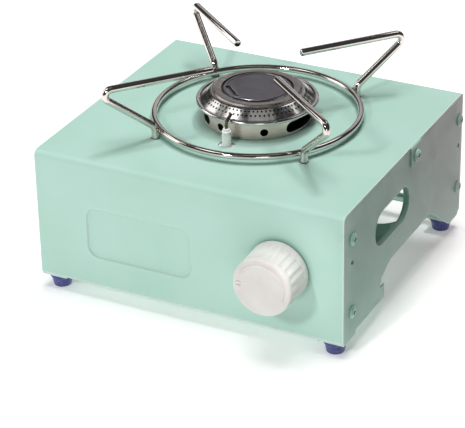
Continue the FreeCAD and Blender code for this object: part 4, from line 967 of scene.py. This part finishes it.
knob_steps = FLUTES * COLUMNS_PER_FLUTE
knob_outline = [
    (0, BORE_DEPTH, 0),
    (BORE_RADIUS, BORE_DEPTH, 0),
    (BORE_RADIUS, 0, 0.3),
    (HUB_RADIUS, 0, 0.3),
    (HUB_RADIUS, KNOB_WALL_TOP, 0),
    (16.6, KNOB_WALL_TOP, 0),
    (17.2, 0, 0.2),
    (19.0, 0, 0.5),
    (18.9, FLUTE_FOOT, 0),
    (18.5, FLUTE_HEAD, 0),
    (18.4, KNOB_FACE, KNOB_EDGE),
    (ARC_OUTER, KNOB_FACE, 0),
    (ARC_INNER, KNOB_FACE, 0),
    (0, KNOB_FACE, 0),
]
knob = turned(knob_outline, knob_steps, 6)
flutes = columns(
    knob,
    knob_steps,
    lambda radius, height, column, normal: radius > SIDE_INSIDE
    and FLUTE_FOOT < height < FLUTE_HEAD
    and column % COLUMNS_PER_FLUTE >= LAND_COLUMNS,
)
for inset, depth in FLUTE_STEPS:
    bmesh.ops.inset_region(knob, faces=flutes, thickness=inset, depth=-depth, use_even_offset=True)
print("flute faces:", len(flutes))

# %% [markdown]
# The arc and the ridges are raised by the same kind of step. The arc is part of the face's own grid, so a
# stretch of it is inset upwards. The ridges are two small bars, bevelled until they are nearly round.

# %% The arc and the ridges
ARC_RISE = 0.9
ARC_SLOPE = 0.35
ARC_FROM, ARC_TO = -25, 150
RIDGE_SHIFT = 1.2
RIDGE = Vector((3.0, 0.8, 1.0))
RIDGE_OUT = 14.4
RIDGE_EDGE = 0.35

arc = columns(
    knob,
    knob_steps,
    lambda radius, height, column, normal: ARC_INNER < radius < ARC_OUTER
    and normal.z > 0.9
    and (column * 360 / knob_steps - ARC_FROM) % 360 < ARC_TO - ARC_FROM,
)
bmesh.ops.inset_region(knob, faces=arc, thickness=ARC_SLOPE, depth=ARC_RISE, use_even_offset=True)
for side in (-1, 1):
    bar = bmesh.ops.create_cube(knob, size=1.0)["verts"]
    bmesh.ops.scale(knob, verts=bar, vec=RIDGE)
    bmesh.ops.translate(knob, verts=bar, vec=(-RIDGE_OUT, side * RIDGE_SHIFT, KNOB_FACE))
    edges = list({edge for vert in bar for edge in vert.link_edges})
    softened(knob, edges, RIDGE_EDGE, 3, "EDGES")

_, knob_high, knob_middle = place("knob")
knob_seat = Vector((knob_middle.x, knob_high.y, knob_middle.z))
upright = Matrix.Translation(knob_seat) @ rotation(90, "X")
bmesh.ops.transform(knob, matrix=upright, verts=knob.verts)
finished(knob, "moulded_knob", [knob_abs], "knob", ["knob"], 40)

# %% [markdown]
# ## The feet
#
# Each foot is a soft plastic plug screwed up under a corner: a tapered body, a wider collar against the
# steel, and a recess below for the screw. The two halves of the mould leave a thin line round the collar.

# %% Four feet
FOOT_STEPS = 64
FOOT_HEIGHT = 9.0
FOOT_COLLAR_RADIUS = 7.5
FOOT_COLLAR_LOW = 6.5
FOOT_RECESS_RADIUS = 3.8
FOOT_RECESS_DEPTH = 4.0
FOOT_BORE_RADIUS = 1.9
MOULD_LINE_AT = 7.75
MOULD_LINE_HALF = 0.1
MOULD_LINE_PROUD = 0.12

foot_outline = [
    (FOOT_RECESS_RADIUS, 0, 0.3),
    (5.5, 0, 0.8),
    (6.7, FOOT_COLLAR_LOW, 0.3),
    (FOOT_COLLAR_RADIUS, FOOT_COLLAR_LOW, 0.4),
    (FOOT_COLLAR_RADIUS, MOULD_LINE_AT - MOULD_LINE_HALF, 0),
    (FOOT_COLLAR_RADIUS + MOULD_LINE_PROUD, MOULD_LINE_AT, 0),
    (FOOT_COLLAR_RADIUS, MOULD_LINE_AT + MOULD_LINE_HALF, 0),
    (FOOT_COLLAR_RADIUS, FOOT_HEIGHT, 0.4),
    (FOOT_BORE_RADIUS, FOOT_HEIGHT, 0.1),
    (FOOT_BORE_RADIUS, FOOT_RECESS_DEPTH, 0.1),
    (FOOT_RECESS_RADIUS, FOOT_RECESS_DEPTH, 0.2),
]
for corner in ("front_left", "front_right", "rear_left", "rear_right"):
    low, _, middle = place(f"foot_{corner}")
    foot = turned(foot_outline, FOOT_STEPS)
    bmesh.ops.translate(foot, verts=foot.verts, vec=(middle.x, middle.y, low.z))
    finished(foot, f"moulded_foot_{corner}", [foot_pvc], "body", [f"foot_{corner}"], 30)

# %% [markdown]
# ## The insulator
#
# The spark electrode runs up through a small ceramic tube. Its edges are rounded by the glaze, and the tip
# is stepped down where the wire comes out. A groove below the tip makes the way longer that a spark would
# have to creep along the surface.

# %% The insulator
CERAMIC_STEPS = 64
CERAMIC_BORE = 1.05
CERAMIC_RADIUS = 2.9
CERAMIC_TIP = 2.2
COLLAR_RADIUS = 5.6
COLLAR_HEIGHT = 3.0
COLLAR_SEAT = 1.0
TIP_DOWN = 1.5
GROOVE_DOWN = 3.4
GROOVE_RADIUS = 2.45
GROOVE_LIP = 0.2

ceramic_low, ceramic_high, ceramic_middle = place("electrode_insulator")
tip = ceramic_high.z - TIP_DOWN
groove = ceramic_high.z - GROOVE_DOWN
plate_under = plate_z - COLLAR_SEAT
ceramic = turned(
    [
        (CERAMIC_BORE, ceramic_low.z, 0),
        (CERAMIC_RADIUS, ceramic_low.z, 0.5),
        (CERAMIC_RADIUS, plate_under - COLLAR_HEIGHT, 0),
        (COLLAR_RADIUS, plate_under - COLLAR_HEIGHT, 0.5),
        (COLLAR_RADIUS, plate_under, 0.3),
        (CERAMIC_RADIUS, plate_under, 0),
        (CERAMIC_RADIUS, groove - 0.5, GROOVE_LIP),
        (GROOVE_RADIUS, groove - 0.1, GROOVE_LIP),
        (GROOVE_RADIUS, groove + 0.3, GROOVE_LIP),
        (CERAMIC_RADIUS, groove + 0.7, GROOVE_LIP),
        (CERAMIC_RADIUS, tip, 0.5),
        (CERAMIC_TIP, tip, 0.1),
        (CERAMIC_TIP, ceramic_high.z, 0.6),
        (CERAMIC_BORE, ceramic_high.z, 0.1),
    ],
    CERAMIC_STEPS,
)
bmesh.ops.translate(ceramic, verts=ceramic.verts, vec=(ceramic_middle.x, ceramic_middle.y, 0))
finished(ceramic, "glazed_insulator", [alumina], "body", ["electrode_insulator"], 30)

# %% [markdown]
# ## A pale studio
#
# The stove stands on a pale table that has no edge in view. It is a shooting table: a white sheet lit from
# below as well as from above, so that the shadows on it stay light. The sheet has a very fine tooth.

# %% Floor
FLOOR_SIDE = 16000.0
FLOOR_GLOW = 0.26


def stage_sheet(name, width, height, material):
    """A flat sheet about the origin that belongs to the studio, not to the stove."""
    shape = bmesh.new()
    bmesh.ops.create_grid(shape, x_segments=2, y_segments=2, size=0.5)
    bmesh.ops.scale(shape, verts=shape.verts, vec=(width * MM, height * MM, 1))
    sheet = meshed(shape, name)
    sheet.data.materials.append(material)
    return sheet


glowing = {"Emission Color": colour("#FFFFFF"), "Emission Strength": FLOOR_GLOW}
matt = {"Roughness": 0.9, "Specular IOR Level": 0.1}
table, table_shader = finish_of("matt_shooting_table", matt | glowing)
link(table, tones(table, grain(table, 60.0), ("#FAFAF9", "#FBFBFA", "#FCFCFB")), table_shader, "Base Color")
link(table, relief(table, grain(table, 0.6), 0.02, 0.4), table_shader, "Normal")
stage_sheet("studio_floor", FLOOR_SIDE, FLOOR_SIDE, table)
print("floor:", FLOOR_SIDE * MM, "m across")

# %% [markdown]
# ## Light
#
# One lamp in front and a little to the left is the key: it lights the front, and throws the knob's shadow
# down and to the right. A wide lamp straight overhead lights the top softly, and a smaller one high behind
# throws the shadow of the burner forwards. A low lamp on the left shines through the hand slot into the
# box. A low one at the front right and a weak rosy one at the right rear keep the shaded side from going
# black. Three of the lamps are left out of reflections, because a lamp mirrored in polished wire is a
# harsh white spot.

# %% Lamps
stove_middle = (cad_low + cad_high) / 2 / MM


def lamp(name, away, size, watts, code="#FFFFFF", in_polish=True):
    """A square lamp, placed in millimetres from the stove's middle and turned towards it."""
    away = Vector(away)
    light = bpy.data.lights.new(name, "AREA")
    light.shape = "SQUARE"
    light.size = size * MM
    light.energy = watts
    light.color = colour(code)[:3]
    holder = in_scene(name, light)
    holder.location = (stove_middle + away) * MM
    holder.rotation_euler = (-away).to_track_quat("-Z", "Y").to_euler()
    holder.visible_glossy = in_polish
    print("lamp:", name, watts, "W")


lamp("key", (-250, -1650, 1080), 180, 12.7)
lamp("high_behind", (0, 720, 1860), 350, 12, in_polish=False)
lamp("overhead", (-50, 0, 2200), 1200, 30, in_polish=False)
lamp("low_left", (-1300, -300, 350), 700, 2.5)
lamp("front_right", (900, -1500, 300), 400, 1.7)
lamp("rear_rose", (420, 330, 160), 150, 0.2, "#FF90B4", in_polish=False)

# %% [markdown]
# Polished metal shows what stands round it, so a picture of it is made with cards. Five of them are seen
# only in reflections: a grey one behind and a grey one overhead, which the flat disc of the burner mirrors,
# and bright ones on the left, high up and at the rear, which draw the light patches on the cap and the
# streaks along the wires. The rest of the room stays dark. Three small cards are seen only by matt
# surfaces. A rosy and a green one tint the shade on the right side, and a white one by the knob lifts its
# top. They stand close, so that they reach nothing else.

# %% Cards and room
def reflector(name, away, width, height, strength, code="#FFFFFF", in_polish=True, target=Vector()):
    """A glowing card turned towards a target, seen by reflections only or by matt surfaces only."""
    sockets = {"Base Color": colour("#000000"), "Emission Color": colour(code), "Emission Strength": strength}
    sheet = stage_sheet(name, width, height, finish_of(name, sockets)[0])
    away = Vector(away)
    turn = (target - away).to_track_quat("Z", "Y").to_matrix().to_4x4()
    sheet.matrix_world = Matrix.Translation((stove_middle + away) * MM) @ turn
    sheet.visible_camera = False
    sheet.visible_shadow = False
    sheet.visible_diffuse = not in_polish
    sheet.visible_glossy = in_polish
    print("card:", name, width, "x", height, "mm")


reflector("grey_card_behind", (-500, 1500, 800), 1800, 900, 0.42)
reflector("bright_card_high", (-620, -480, 1280), 560, 420, 2.0)
reflector("bright_card_rear", (600, 900, 1400), 600, 500, 1.6)
reflector("grey_card_overhead", (250, -350, 1500), 700, 400, 0.35)
reflector("bright_card_left", (-1300, -100, 850), 900, 500, 1.6)
reflector("rose_card_right", (138, 60, 0), 110, 300, 0.05, "#E0688A", in_polish=False)
reflector("green_card_right", (135, -35, 0), 110, 300, 0.2, "#22A87C", in_polish=False)
knob_at = knob_middle - stove_middle
above_knob = knob_at + Vector((27, -17, 24))
reflector("white_card_by_knob", above_knob, 30, 30, 1.5, in_polish=False, target=knob_at)

ROOM_LIGHT = 0.05
world = bpy.data.worlds.new("dim_room")
world.use_nodes = True
room = world.node_tree.nodes["Background"]
room.inputs["Color"].default_value = colour("#F2F4F5")
room.inputs["Strength"].default_value = ROOM_LIGHT
bpy.context.scene.world = world
bpy.context.scene.view_settings.view_transform = "Standard"

# %% [markdown]
# ## Camera
#
# The camera stands to the right of the front and looks down on the stove. It is far away with a long lens,
# so the box's edges stay nearly parallel.

# %% Camera
CAMERA_PLACE = Vector((527.6, -1037.8, 663.9))
CAMERA_TURN = 27.35
CAMERA_DIP = 28.34
CAMERA_ROLL = -1.19
LENS = 163.6

camera_data = bpy.data.cameras.new("camera")
camera_data.lens = LENS
camera = in_scene("camera", camera_data)
aim = rotation(CAMERA_TURN, "Z") @ rotation(90 - CAMERA_DIP, "X") @ rotation(CAMERA_ROLL, "Z")
camera.matrix_world = Matrix.Translation(CAMERA_PLACE * MM) @ aim
bpy.context.scene.camera = camera
print("camera lens:", LENS, "mm")
